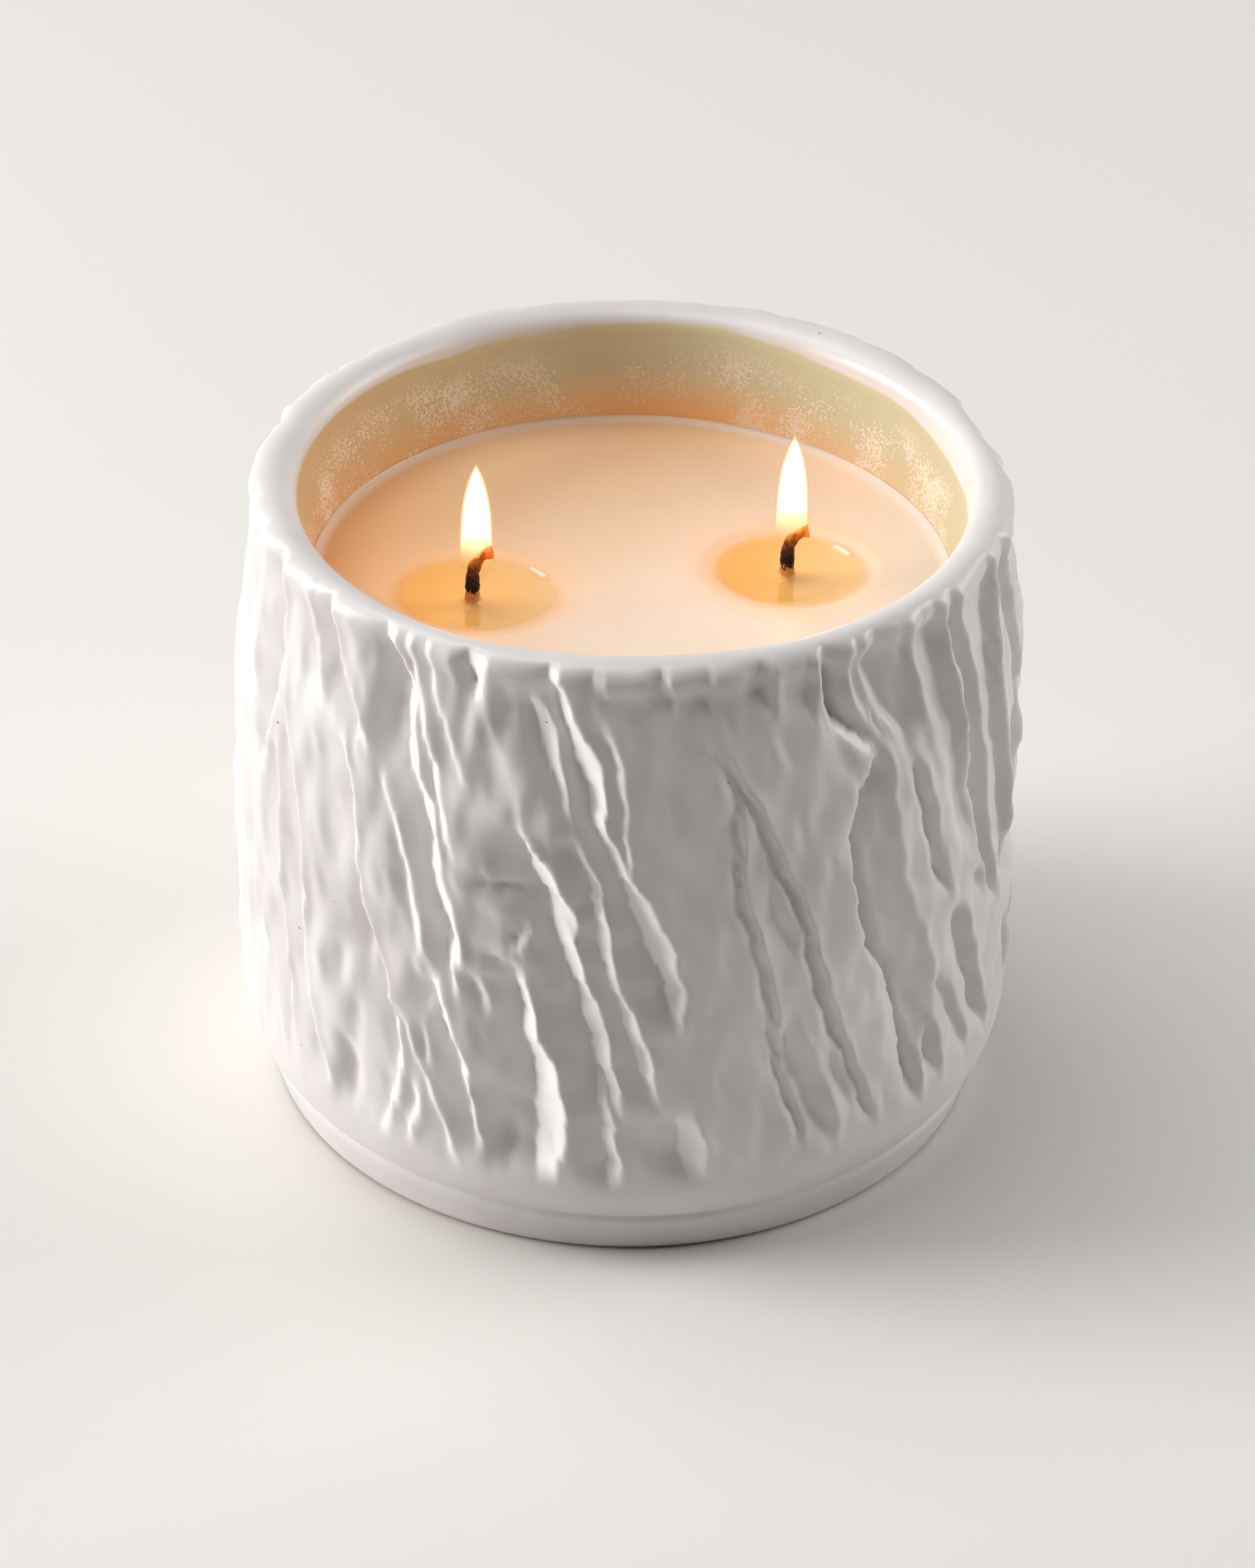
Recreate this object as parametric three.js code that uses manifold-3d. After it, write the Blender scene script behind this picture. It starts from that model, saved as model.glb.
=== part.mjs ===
// Container candle: a thick glazed stoneware jar with bark carved into its wall, filled with wax that
// two braided wicks stand in, each in its own pool of melted wax.
// Millimetres, +Z up. The origin is on the table, under the middle of the jar.
import * as THREE from "three";
import { mergeVertices } from "three/addons/utils/BufferGeometryUtils.js";
import Module from "manifold-3d";

const wasm = await Module();
wasm.setup();

// Jar, outside
const jarHeight = 86.6;
const bellyRadius = 50.85; // the widest ring of the carved wall
const bellyHeight = 40;
const shoulderRadius = 47.75; // where the wall meets the lip
const shoulderRoundness = 2; // power of the wall's curve above the belly
const heelRoundness = 10; // power of its tighter curve below the belly
const lipWidth = 6;
const lipRounding = 2.2; // how far the rounded lip stands above its straight wall
const lipReach = 12; // below the lip, the wall takes this much height to lose the lip's outline
const lipHollow = 0.7; // how far the lip overhangs the wall
const hollowHeight = 2.5; // the overhang's hollow is deepest this far below the lip
const hollowReach = 20; // and has run out at this depth
const hollowTurn = 23; // where it is deepest, in degrees from the front
const hollowBehind = 0.35; // its share of that depth on the far side
const hollowLobes = 9; // times that it comes and goes round the jar
const hollowRipple = 0.35; // share by which it does

// Jar, foot
const footRadius = 46.6;
const footBandHeight = 6.5;
const footBandRadius = 48; // at the band's upper edge
const footBandEdge = 0.9; // the band's upper edge rounds over to the crease in this height
const creaseRadius = 47.7; // the crease between the foot band and the wall
const footChamfer = 0.7;
const footRingWidth = 7.5;
const footRecess = 2;

// Jar, inside
const floorThickness = 5;
const cavityRadius = 40; // at the floor
const cavityDraft = 0.85; // how much wider the cavity is at the lip
const mouthFlare = 0.9; // how much it opens out above the wax besides
const cavityFillet = 6;

// Bark relief
const carvedFrom = 12; // below this height the wall is plain
const carveFadeBelow = 5;
const carveFadeAbove = 3; // the relief grows shallower over this height under the lip
const lipCarving = 0.5; // down to this share of its depth
const ledgeFade = 5; // each ledge runs out over this length at its ends
const drawnHeight = 91; // the ledges' heights are drawn on a jar this many steps high
const lineSoftness = 1.2; // the drawn lines' corners are rounded over this height
const faceStretch = 1.25; // the photo shows the faces slanted, so their drawn widths grow by this
const declineStretch = 1.7; // and the declines' by this
const declinePower = 1.5; // above 1, a decline is hollow
const cutShare = 0.6; // a ledge is cut to this share of its drawn depth
const cutByFace = 0.5; // and deeper by this share for each mm that its face is wide
const deepestCut = 2.8; // of one ledge
const deepestSum = 3.9; // of ledges that overlap
const levelling = 4; // power with which overlapping ledges level off at the deepest
const grainLean = 0.31; // degrees that the bark's grain turns to the right for each mm down
const plateSwell = 0.22; // slow rise and fall of the plates between the ledges
const swellLobes = 14; // round the wall
const swellDrift = 0.11; // their turn with height, in radians per mm
const swellTwist = 4; // slower lobes that the swell also follows
const swellRate = 0.13;

// Wax and melted pools
const seatGap = 0.3; // clearance between pieces that rest on or in each other
const cutMargin = 1; // a wick's space starts this far below the wax
const waxLevel = 71.5;
const waxCreep = 0.6; // how far the wax climbs the jar's wall
const waxCreepWidth = 1.8;
const poolDrop = 0.4; // the melted wax lies this far below the firm wax
const poolDepth = 3.6;
const poolHalfLength = 8.8; // front to back

// Wicks
const wickRadius = 0.85;
const wickBoreRadius = 0.5;
const coreRadius = 0.35;
const coreSetback = 1.2; // the core has burnt back this far below the wick's tip
const wickBendStart = 3.4; // height above the pool where the charred end starts to curl
const wickReach = 2.5; // how far the tip curls over to the side
const wickBendEase = 0.6; // how far below its tip the wick starts to level out
const crimpGap = 0.15;

// Wick sustainers, the stamped tins that hold the wicks up, and their adhesive stickers
const sustainerRadius = 8;
const tinThickness = 0.3;
const collarWall = 0.35;
const collarHeight = 3.2;
const stickerRadius = 7;
const stickerThickness = 0.8;

// Where each wick stands, how far its tip is above the pool, and its pool's middle and half width.
const wickSpots = [
  { side: "left", wick: [-19.9, -6.7], stand: 7.6, pool: [-19.6, -4.5], poolHalfWidth: 10.4 },
  { side: "right", wick: [19.6, 1.3], stand: 6.9, pool: [20, 3], poolHalfWidth: 9.8 },
];

// How far the lip's outer and inner edges stand out of round, as [degrees from the front, mm outwards].
const lipEdge = [
  [-176, 0.3], [-162, 0.2], [-156, 1.1], [-149, 1], [-138, 0.1], [-125, 0.1], [-110, 0.8], [-105, -0.4],
  [-99, 0.4], [-92, 0.5], [-66, 0.3], [-52, -0.4], [-24, -0.6], [4, -0.8], [34, -0.8], [62, -0.4],
  [74, 0.2], [92, -0.1], [105, -1], [110, -1.2], [114, 0], [129, 0.3], [135, 0.85], [144, 1.4],
  [153, 1], [159.5, 1.6], [164, 0.8],
];
const mouthEdge = [
  [-150, 0.6], [-100, 0.2], [-60, 0.6], [-30, 1], [-19, 0.5], [-12, -0.1], [5, -0.8], [22, -0.4],
  [40, -0.1], [70, 0.1], [95, 0.5], [150, 0.7],
];
const edgeSoftness = 3; // degrees over which their corners are rounded

// The ledges of the bark over half of the wall, left to right, and the other half repeats them. Each is a
// line of points, [degrees round the wall from the front, height in drawn steps, width of the steep face in
// mm], then its depth, the width of the decline on its left and of the floor between, in mm. A line drawn
// upwards has its decline on the other side. Lines from 97 steps or more come out over the rim.
const ledges = [
  // Far left
  [[[-93, 84, 1.6], [-90, 70, 1.8], [-86, 54, 1.2]], 1.2, 3.5, 0],
  [[[-88, 52, 1.2], [-85, 38, 1.8], [-80, 18, 1.6]], 1.2, 3.5, 0],
  [[[-82.9, 97, 1.4], [-79.5, 74, 1.6], [-76, 58, 1]], 1.1, 3, 0],
  [[[-78, 58, 1.2], [-74.5, 40, 1.8], [-69, 18, 1.6]], 1.2, 3.5, 0],
  [[[-74.7, 97, 1.4], [-72.5, 78, 1.5], [-71, 66, 1]], 1, 2.5, 0],
  [[[-72, 64, 1], [-68.5, 46, 1.5], [-64, 28, 1.2]], 1, 3, 0],
  [[[-65.8, 97, 2.4], [-62.5, 82, 2.4], [-63.5, 72, 2.6], [-65.5, 62, 2.4], [-67.5, 55, 1.6]], 1.3, 3, 0],
  [[[-62, 84, 0.8], [-59.6, 75, 1], [-58.1, 68, 1], [-56.6, 64, 1.1], [-54.5, 55, 1.2], [-53.4, 47, 1.1],
    [-52.6, 38, 1.1], [-51.8, 30, 1], [-49.7, 23, 1], [-46.1, 16, 0.8]], 0.9, 3, 0],
  [[[-61.6, 66, 0.6], [-60.4, 57, 0.9], [-59.4, 49, 0.9], [-59, 42, 0.8], [-58, 35, 0.9], [-56.2, 20, 0.7]],
    0.7, 2.5, 0],
  [[[-57, 90, 0.8], [-53.9, 84.4, 1], [-50.4, 77.4, 1], [-47.6, 75, 0.8], [-45.6, 73.4, 0.6]], 0.6, 1.8, 0],
  [[[-52.6, 97, 1.2], [-48.4, 84.4, 1.1], [-45.4, 80, 1], [-42.8, 77.2, 0.9], [-39.5, 71.6, 0.5]],
    1.6, 2.2, 0],
  // Left of the front
  [[[-44.9, 74, 0.6], [-43.4, 68.3, 1.6], [-42.5, 62.7, 2.4], [-41.8, 57.2, 1.6], [-40.9, 52.2, 1.3],
    [-39.3, 47.2, 1.8], [-37.5, 42.7, 2], [-36, 38.8, 1.6], [-35.5, 34.9, 1.6], [-34.2, 29.9, 1.8],
    [-33.9, 24.9, 1.4], [-35.4, 19.4, 1.1], [-37.5, 12, 0.7]], 1.5, 7, 0],
  [[[-35.6, 38, 0.5], [-32.7, 33.8, 0.8], [-30.6, 29.4, 0.8], [-27.9, 23.8, 0.9], [-25.8, 18.8, 0.9],
    [-22.9, 11.5, 0.8]], 1, 3, 0],
  [[[-38.6, 72, 0.5], [-36.9, 68.3, 0.8], [-33.9, 62.2, 1], [-32.2, 54.9, 1], [-30.7, 50.5, 1.2],
    [-29.5, 46.6, 0.9], [-27.9, 43.4, 0.5]], 0.8, 2.5, 0],
  [[[-41.7, 97, 1.4], [-36.6, 86, 1.6], [-34.2, 82.2, 2], [-33.5, 76.6, 2.4], [-32, 71.6, 2.4],
    [-30, 68.3, 2.2], [-28.6, 64.4, 2], [-27.7, 59.4, 2.2], [-27, 56, 2.6], [-25.2, 51.6, 2.2],
    [-24.1, 47.7, 1.5], [-23.2, 44, 0.6]], 1.5, 3.2, 0],
  [[[-36.1, 97, 0.8], [-33, 84.4, 0.9], [-29.9, 77.2, 1], [-28.4, 74.4, 1.3], [-27, 68.3, 1.2],
    [-25.8, 64.9, 1], [-24.2, 60.6, 0.8]], 0.9, 1.8, 0],
  [[[-32.6, 97, 0.6], [-29.7, 84.4, 0.8], [-28.4, 81.6, 1], [-25.4, 77, 0.6], [-22, 71.4, 0.6]], 0.8, 1.6, 0],
  [[[-21.4, 99, 3.2], [-22.6, 89, 2.6], [-22.4, 83, 0.6]], 1.5, 1.5, 0],
  [[[-13.6, 55.6, 1], [-16.8, 56.9, 1.8], [-19.8, 57.7, 2.4], [-22.2, 59.4, 2], [-24.4, 61.4, 1.4]],
    0.9, 3.2, 0],
  [[[-12.8, 56, 0.6], [-14.1, 52.2, 1.2], [-15.4, 49.4, 1.2], [-15.9, 47.6, 0.8]], 0.8, 2.6, 0],
  [[[-15.4, 45, 0.8], [-18, 46, 1.4], [-20.4, 47.7, 1.6], [-23, 49.6, 1]], 0.8, 2.6, 0],
  [[[-21.9, 47.2, 0.5], [-21, 43.8, 1.3], [-19.6, 40.5, 1], [-18.8, 37, 0.7]], 0.7, 1.5, 0],
  [[[-26.2, 50.4, 0.8], [-25, 46, 0.9], [-23.6, 40.4, 0.7]], 1.3, 1.4, 0],
  [[[-27.6, 44.6, 0.8], [-27, 42.4, 1.4], [-26.6, 38.3, 1.6], [-25.3, 34, 1.8], [-23.3, 30, 1.4],
    [-22.3, 26.6, 1], [-21.9, 23.8, 0.9], [-21.1, 20, 1], [-20.1, 15.6, 1.2]], 1.3, 3, 0],
  [[[-27, 42.6, 0.6], [-28.5, 38.8, 0.8], [-29.7, 34.4, 0.8]], 0.5, 2, 0],
  [[[-29.7, 35, 0.5], [-29, 31.6, 0.7], [-27.4, 27, 0.6]], 0.6, 2, 0],
  [[[-31.3, 27, 0.8], [-30.4, 23.8, 1.1], [-31, 19, 1.1], [-33, 12, 0.7]], 0.8, 2.4, 0],
  // Front
  [[[-15.8, 70.4, 0.5], [-14.4, 66.6, 1.1], [-12.2, 62.7, 2.2], [-10.2, 59.4, 2.3], [-8.3, 54.9, 2.8],
    [-8.2, 51.6, 2.2], [-7, 48.3, 1.8], [-5.9, 46, 1.4], [-5.2, 43.3, 1.9], [-3.6, 38.8, 2.4],
    [-3, 34.9, 1.9], [-1.4, 30.5, 1.4], [0.2, 24.4, 0.5]], 1.5, 4, 0],
  [[[-8.6, 69.4, 0.5], [-6.6, 65.5, 1], [-5, 62.7, 1.1], [-3.9, 59.4, 1.3], [-3.2, 55, 1.4],
    [-2.5, 51.6, 1.6], [-1.9, 47.7, 1.1], [-0.6, 44.4, 1.1], [0.9, 40.5, 1.5], [2.1, 37.2, 1.7],
    [3.5, 32.7, 1.5], [4.3, 29.4, 0.9], [4.8, 26, 0.5]], 1.2, 3, 0],
  [[[-14.3, 88.2, 0.6], [-13.8, 85, 1.5], [-12.4, 81.6, 2.2], [-11, 77.7, 1.8], [-9.3, 73.8, 1],
    [-7.1, 67.8, 0.6]], 1.2, 3, 0],
  [[[-4.1, 36, 0.6], [-3.3, 31.6, 1], [-1.8, 23.8, 1.3], [-0.7, 15.5, 1.6], [-0.3, 11.2, 1]], 1.1, 2.5, 0],
  [[[-14.1, 97, 1], [-9.5, 85, 1.5], [-7.5, 81, 2.1], [-5.2, 77.2, 2.9], [-4.3, 72.7, 1.9],
    [-3.8, 69.4, 1.5], [-2.1, 66, 1.2], [-0.2, 62.7, 1.2], [1.3, 59.4, 2], [3.5, 55, 2.5],
    [4.9, 51.6, 3.2], [6, 48.3, 2], [7.4, 44.4, 2], [7.6, 40.5, 1], [7.5, 38, 0.5]], 1.6, 3.2, 0],
  [[[-4.1, 84.6, 0.5], [-2.6, 81.5, 1], [-0.6, 75, 1], [-0.1, 67, 0.5], [1.2, 61, 0.4]], 0.8, 2, 0],
  [[[-9, 99, 1.6], [-4.6, 89, 1.3], [-2.2, 85.4, 0.5]], 1.5, 1.6, 0],
  [[[1, 99, 1.6], [5.2, 89, 1.2], [7.6, 83.6, 0.5]], 1.5, 1.8, 0],
  [[[10.6, 99, 0.8], [12.2, 89, 0.8], [11.4, 83, 0.5]], 0.9, 2.6, 0],
  [[[18.6, 99, 1.8], [20.3, 89, 1.6], [21.6, 82.6, 0.6]], 1.4, 2.8, 0],
  [[[28.4, 99, 1], [27.6, 88, 1], [27.8, 80, 0.5]], 0.8, 3, 0],
  [[[-15.9, 48.6, 0.6], [-14.6, 45, 1.4], [-13.5, 41.6, 1.9], [-13.3, 37.7, 1.9], [-12.3, 34.9, 2.6],
    [-10.8, 31.6, 2.8], [-10.5, 27.7, 3.3], [-10, 23.8, 4], [-10.1, 19.4, 3.4], [-10.8, 15.5, 2.4],
    [-10.5, 11.6, 1.4]], 1.6, 4.5, 0],
  [[[8.6, 27.4, 1], [9.6, 23.8, 2.4], [10.3, 19.4, 3], [10.9, 15, 2.4], [11, 12, 1.4]], 0.9, 3, 0],
  [[[9.5, 37.3, 0.5], [15, 36, 0.7], [20.6, 35, 0.6]], 0.35, 2, 0],
  // Right of the front
  [[[10, 81.2, 0.4], [12.6, 79.4, 0.6], [14.4, 78.3, 0.5]], 0.4, 1, 0],
  [[[15.5, 76, 0.4], [16.1, 64.8, 0.5], [16.2, 59.4, 0.5], [17.8, 54.8, 0.7], [19.4, 49.7, 0.6],
    [21.2, 42.9, 0.7], [21.6, 39, 0.5], [22.2, 34.2, 0.6], [23, 29.3, 0.5], [25.8, 23.3, 0.9],
    [27.4, 16, 0.5]], 1, 0.8, 0],
  [[[12.1, 80, 0.4], [15, 77.2, 0.6], [17, 73.3, 0.6], [19.4, 69.6, 0.5], [21.3, 63.9, 0.6], [23.9, 58.5, 0.7],
    [26.5, 53, 0.6], [27.7, 47.6, 0.9], [29.6, 40.7, 0.8], [31.6, 34.9, 0.7], [35.2, 26.9, 0.6],
    [39.8, 16, 0.5]], 1.3, 0.9, 0],
  [[[20.8, 64, 0.5], [21.4, 58, 1.4], [23.8, 52, 1.8], [26.4, 46, 0.8]], 0.5, 1.5, 0],
  [[[24, 40, 0.8], [25.6, 33, 2.2], [28.6, 26, 2.8], [31, 20, 2], [32.4, 15, 0.8]], 0.6, 1.8, 0],
  [[[30.4, 34, 0.6], [33.4, 26, 1.6], [37, 19, 1]], 0.7, 1.4, 0],
  [[[32, 99, 3], [32.4, 88, 3.4], [33.6, 81, 3], [37.2, 77, 2.2], [41.4, 73, 1]], 1.4, 0.9, 0],
  [[[36.2, 99, 1], [35.9, 83.4, 1.2], [39, 78.2, 1.2], [42.9, 73.3, 0.8]], 1, 0.6, 0],
  [[[39.6, 76, 0.6], [37.6, 67, 4.6], [38.2, 60, 5.6], [39.4, 53, 5.7], [41.2, 46.6, 6], [45.2, 39.6, 5.2],
    [47.9, 31.7, 4.6], [47.4, 25, 2.6], [46.6, 18, 1]], 1.4, 0.6, 0],
  [[[34.2, 66, 0.6], [34.6, 60, 1.6], [36, 53, 1.8], [38.4, 46, 1.4], [42, 40, 0.8]], 0.7, 0.4, 0],
  [[[42.8, 97, 5], [42.4, 85, 5.4], [44, 80, 4.6], [45.4, 76, 3], [45.6, 73.4, 1.4]], 1.5, 2.4, 0],
  [[[44.2, 73, 0.8], [46.9, 67.2, 1], [48.3, 62.7, 1], [50.1, 54.4, 1], [53.6, 46, 0.7]], 1.1, 1.1, 0],
  [[[50.6, 58, 0.5], [51.8, 52, 0.7], [53.6, 47.8, 0.6]], 0.6, 0.9, 0],
  [[[43, 39.6, 0.8], [43.6, 35, 1], [44.8, 30.5, 1], [46.9, 22.7, 1], [49.4, 14.6, 0.8]], 1.2, 1.9, 0],
  [[[50, 31, 0.6], [50.6, 27, 1.2], [52.4, 21, 1.2], [54, 16, 0.8]], 0.9, 2, 0],
  [[[49.3, 97, 0.7], [50, 82, 0.8], [50.4, 75, 0.5]], 0.5, 1.4, 0],
  // Far right
  [[[52.5, 97, 1.5], [53.6, 84, 1.6], [53.9, 79, 1.5], [54.9, 74.4, 1.4], [57.4, 65.5, 1.2], [58, 60.5, 1.2],
    [61, 51.6, 0.8]], 1.2, 2, 1.6],
  [[[55.3, 97, 1], [57.6, 84.4, 1.2], [59.4, 80, 1.6], [60.6, 71, 2.2], [61.8, 60.5, 2.4], [63, 56, 2],
    [64.4, 51, 1.6], [68.6, 41, 1], [71, 36, 0.8]], 1.4, 1.3, 0],
  [[[54.6, 46, 0.8], [56.6, 43.2, 1.2], [59.4, 36, 1.4], [61.2, 32.2, 1.2], [65.6, 22.7, 1],
    [69.6, 16, 0.6]], 1.3, 2.4, 0],
  [[[49.6, 37, 0.5], [53.8, 31.6, 0.8], [56.8, 26.6, 0.8], [62.6, 16, 0.6]], 0.9, 2.2, 0],
  [[[60.6, 48.4, 0.6], [62.6, 45, 1], [64.4, 41.4, 0.8]], 0.9, 1.8, 0],
  [[[69.3, 97, 0.9], [68.5, 79.4, 1], [68.9, 72, 1], [70.8, 59.4, 1], [73.8, 48.3, 0.9], [79, 35, 0.6]],
    1.5, 5.5, 0],
  [[[72.6, 97, 1.2], [78, 80, 1.4], [80, 72, 1.2], [82, 62, 1]], 1.2, 3, 0],
  [[[86, 66, 1.6], [88, 50, 1.8], [90, 34, 1.4]], 1.7, 2, 8],
  [[[76, 33, 0.8], [79, 26, 1.2], [84, 15, 1]], 1, 2.4, 0],
  [[[86, 31, 1], [89, 22, 1.4], [92, 14, 1]], 1, 3, 0],
];

// Dents in the plates between them: degrees, height in steps, half width, half height and depth in mm.
const dents = [
  [-50.8, 43.5, 1.6, 3.5, 0.4], [-48.8, 62, 1.4, 4.5, 0.4], [-46.4, 56, 1.6, 4, 0.4],
  [-45.2, 37.5, 1.5, 3.5, 0.8], [-43.7, 22, 1.6, 4.6, 1.4], [-42.6, 31, 1.4, 3, 0.5],
  [-40.6, 44.5, 1.2, 3.5, 0.7], [-37.4, 76.5, 1.8, 5, 1.3], [-37, 83, 1.4, 4, 0.5],
  [-24, 82, 1.2, 4, 0.5], [-20.5, 52, 3, 2.8, 0.6], [-20, 78, 2.2, 5, 0.8], [-18, 84, 1.4, 3, 0.4],
  [-17.2, 20, 2, 4.6, 1.5], [-17, 74, 2.2, 3, 0.3], [4, 21, 2, 4, 0.4], [20.4, 35, 1.4, 2, 0.5],
  [30.6, 86, 1, 3, 0.6], [31.4, 79, 1.3, 3.5, 0.6], [32.8, 75, 1.2, 2, 0.5], [33.4, 63.5, 1, 3, 0.5],
  [33.5, 26, 1.4, 2.6, 0.4], [38.2, 19, 1.6, 1.8, 0.6], [42.6, 38, 2, 3, 0.5], [43, 74, 1.2, 1.4, 0.6],
  [47, 33, 1.8, 2.5, 0.4], [47.4, 73, 1.2, 2, 0.5], [51, 20, 1.4, 4, 0.5], [56.5, 60, 1.6, 5, 0.4],
  [64, 90, 2.6, 2, 0.8],
];

// Facets of the surfaces
const fineColumns = 208; // round the carved wall
const lipColumns = 104; // round the lip, a whole fraction of the fine ones
const plainColumns = 52; // round the plain surfaces, a whole fraction of the lip's
const carvedRows = 18;
const lipSweeps = [0.22, 0.42, 0.6, 0.8]; // shares of the half turn over the lip
const heelSteps = [0.25, 0.6]; // shares of the plain wall's height
const mouthSteps = [0, 0.33, 0.67]; // shares of the lip's reach
const filletSteps = 3;
const bowlSteps = 4.5; // the half step keeps the bowl's lowest ring off its point
const poolColumns = 26;
const smallColumns = 24; // round the tins, stickers and wick holes
const wickSides = 8;
const bendSteps = 8;

const radians = THREE.MathUtils.degToRad;
const smoothstep = THREE.MathUtils.smoothstep;
const lipTop = jarHeight - lipRounding; // where the wall's straight side ends and the lip's arc starts
const floorLevel = footRecess + floorThickness;
const poolLevel = waxLevel - poolDrop;

function range(count, item) {
  return Array.from({ length: count }, (_, index) => item(index));
}

// Joins rows of points, each row one ring round the body, into a closed surface. One of two neighbouring
// rows may have several times as many points as the other, and a row of one point closes an end.
function skin(rows) {
  const corners = [];
  for (let row = 1; row < rows.length; row += 1) {
    const lower = rows[row - 1];
    const upper = rows[row];
    const fineBelow = lower.length >= upper.length;
    const fine = fineBelow ? lower : upper;
    const coarse = fineBelow ? upper : lower;
    const share = fine.length / coarse.length;
    for (let step = 0; step < fine.length; step += 1) {
      const here = fine[step];
      const next = fine[(step + 1) % fine.length];
      const near = Math.round(step / share);
      const far = Math.round((step + 1) / share);
      const anchor = coarse[near % coarse.length];
      corners.push(...(fineBelow ? [here, next, anchor] : [next, here, anchor]));
      if (far === near || coarse.length === 1) continue;
      const beyond = coarse[far % coarse.length];
      corners.push(...(fineBelow ? [next, beyond, anchor] : [beyond, next, anchor]));
    }
  }
  return mergeVertices(new THREE.BufferGeometry().setFromPoints(corners), 1e-4);
}

function solidFrom(geometry) {
  const bare = geometry.clone();
  bare.deleteAttribute("normal");
  bare.deleteAttribute("uv");
  const merged = mergeVertices(bare, 1e-4);
  return new wasm.Manifold(
    new wasm.Mesh({
      numProp: 3,
      vertProperties: new Float32Array(merged.attributes.position.array),
      triVerts: new Uint32Array(merged.index.array),
    }),
  );
}

function cut(geometry, tools) {
  const solid = tools.reduce((rest, tool) => rest.subtract(solidFrom(tool)), solidFrom(geometry));
  const mesh = solid.getMesh();
  const result = new THREE.BufferGeometry();
  result.setAttribute("position", new THREE.BufferAttribute(new Float32Array(mesh.vertProperties), 3));
  result.setIndex(new THREE.BufferAttribute(new Uint32Array(mesh.triVerts), 1));
  return result;
}

// A profile of [radius, height] pairs turned about +Z.
function turned(profile, segments) {
  const points = profile.map(([radius, height]) => new THREE.Vector2(radius, height));
  return new THREE.LatheGeometry(points, segments).rotateX(Math.PI / 2);
}

// A number of rows that go up by their first number, read at a place between two of them.
function read(rows, place, column) {
  const next = rows.findIndex((row) => row[0] >= place);
  if (next < 0) return rows.at(-1)[column];
  if (next === 0) return rows[0][column];
  const [before, after] = [rows[next - 1], rows[next]];
  return THREE.MathUtils.mapLinear(place, before[0], after[0], before[column], after[column]);
}

// How far an edge of the lip stands out of round at an angle from the front.
function edgeOffset(edge, angle) {
  const [firstPlace, firstOffset] = edge[0];
  const [lastPlace, lastOffset] = edge.at(-1);
  const closed = [[lastPlace - 360, lastOffset], ...edge, [firstPlace + 360, firstOffset]];
  const degrees = THREE.MathUtils.euclideanModulo(THREE.MathUtils.radToDeg(angle) + 180, 360) - 180;
  const nearby = [-edgeSoftness, 0, edgeSoftness].map((step) => read(closed, degrees + step, 1));
  return (nearby[0] + nearby[1] + nearby[2]) / 3;
}

// The hand-smoothed lip overhangs the wall a little, most of all at the front.
function hollowDepth(angle, height) {
  const under = lipTop - height;
  const share = smoothstep(under, 0, hollowHeight) * (1 - smoothstep(under, hollowHeight, hollowReach));
  const facing = 0.5 + 0.5 * Math.cos(angle - radians(hollowTurn));
  const round = hollowBehind + (1 - hollowBehind) * facing;
  return lipHollow * share * round * (1 + hollowRipple * Math.sin(hollowLobes * angle + 1));
}

// A ledge's line in mm, upwards: rows of height, arc length round the belly and width of the face.
function measured([line, depth, decline, floor]) {
  const rows = line.map(([degrees, step, face]) => {
    return [(step * jarHeight) / drawnHeight, bellyRadius * radians(degrees), face * faceStretch];
  });
  const drawnDown = rows[0][0] > rows.at(-1)[0];
  if (drawnDown) rows.reverse();
  return { rows, depth, floor, decline: decline * declineStretch, facesLeft: drawnDown ? 1 : -1 };
}

// How deep one ledge cuts the wall: across its line lie a straight face up to the crest, a floor and a
// hollow decline.
function ledgeDepth({ rows, depth, decline, floor, facesLeft }, turn, arc, height) {
  const low = rows[0][0];
  const top = rows.at(-1)[0];
  if (height <= low || height >= top) return 0;
  const nearby = [-lineSoftness, 0, lineSoftness].map((step) => read(rows, height + step, 1));
  const middle = (nearby[0] + 2 * nearby[1] + nearby[2]) / 4;
  const slant = Math.cos(Math.atan2(nearby[2] - nearby[0], 2 * lineSoftness));
  const girth = 2 * Math.PI * bellyRadius;
  const away = arc - middle - (girth * turn) / 360;
  const aside = (away - girth * Math.round(away / girth)) * slant * facesLeft;
  const face = read(rows, height, 2);
  const onFace = THREE.MathUtils.clamp(0.5 - aside / face, 0, 1);
  const onDecline = THREE.MathUtils.clamp(1 + (aside + face / 2 + floor) / decline, 0, 1);
  const reach = Math.min(ledgeFade, (top - low) / 2);
  const fade = smoothstep(height, low, low + reach) * smoothstep(top - height, 0, reach);
  const cutDepth = Math.min(depth * (cutShare + cutByFace * face), deepestCut);
  return fade * cutDepth * Math.min(onFace, onDecline ** declinePower);
}

function dentDepth([degrees, step, halfWidth, halfHeight, depth], turn, angle, height) {
  const apart = angle - radians(degrees + turn);
  const away = bellyRadius * Math.atan2(Math.sin(apart), Math.cos(apart));
  const up = height - (step * jarHeight) / drawnHeight;
  return depth * Math.exp(-((away / halfWidth) ** 2) - (up / halfHeight) ** 2);
}

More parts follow.
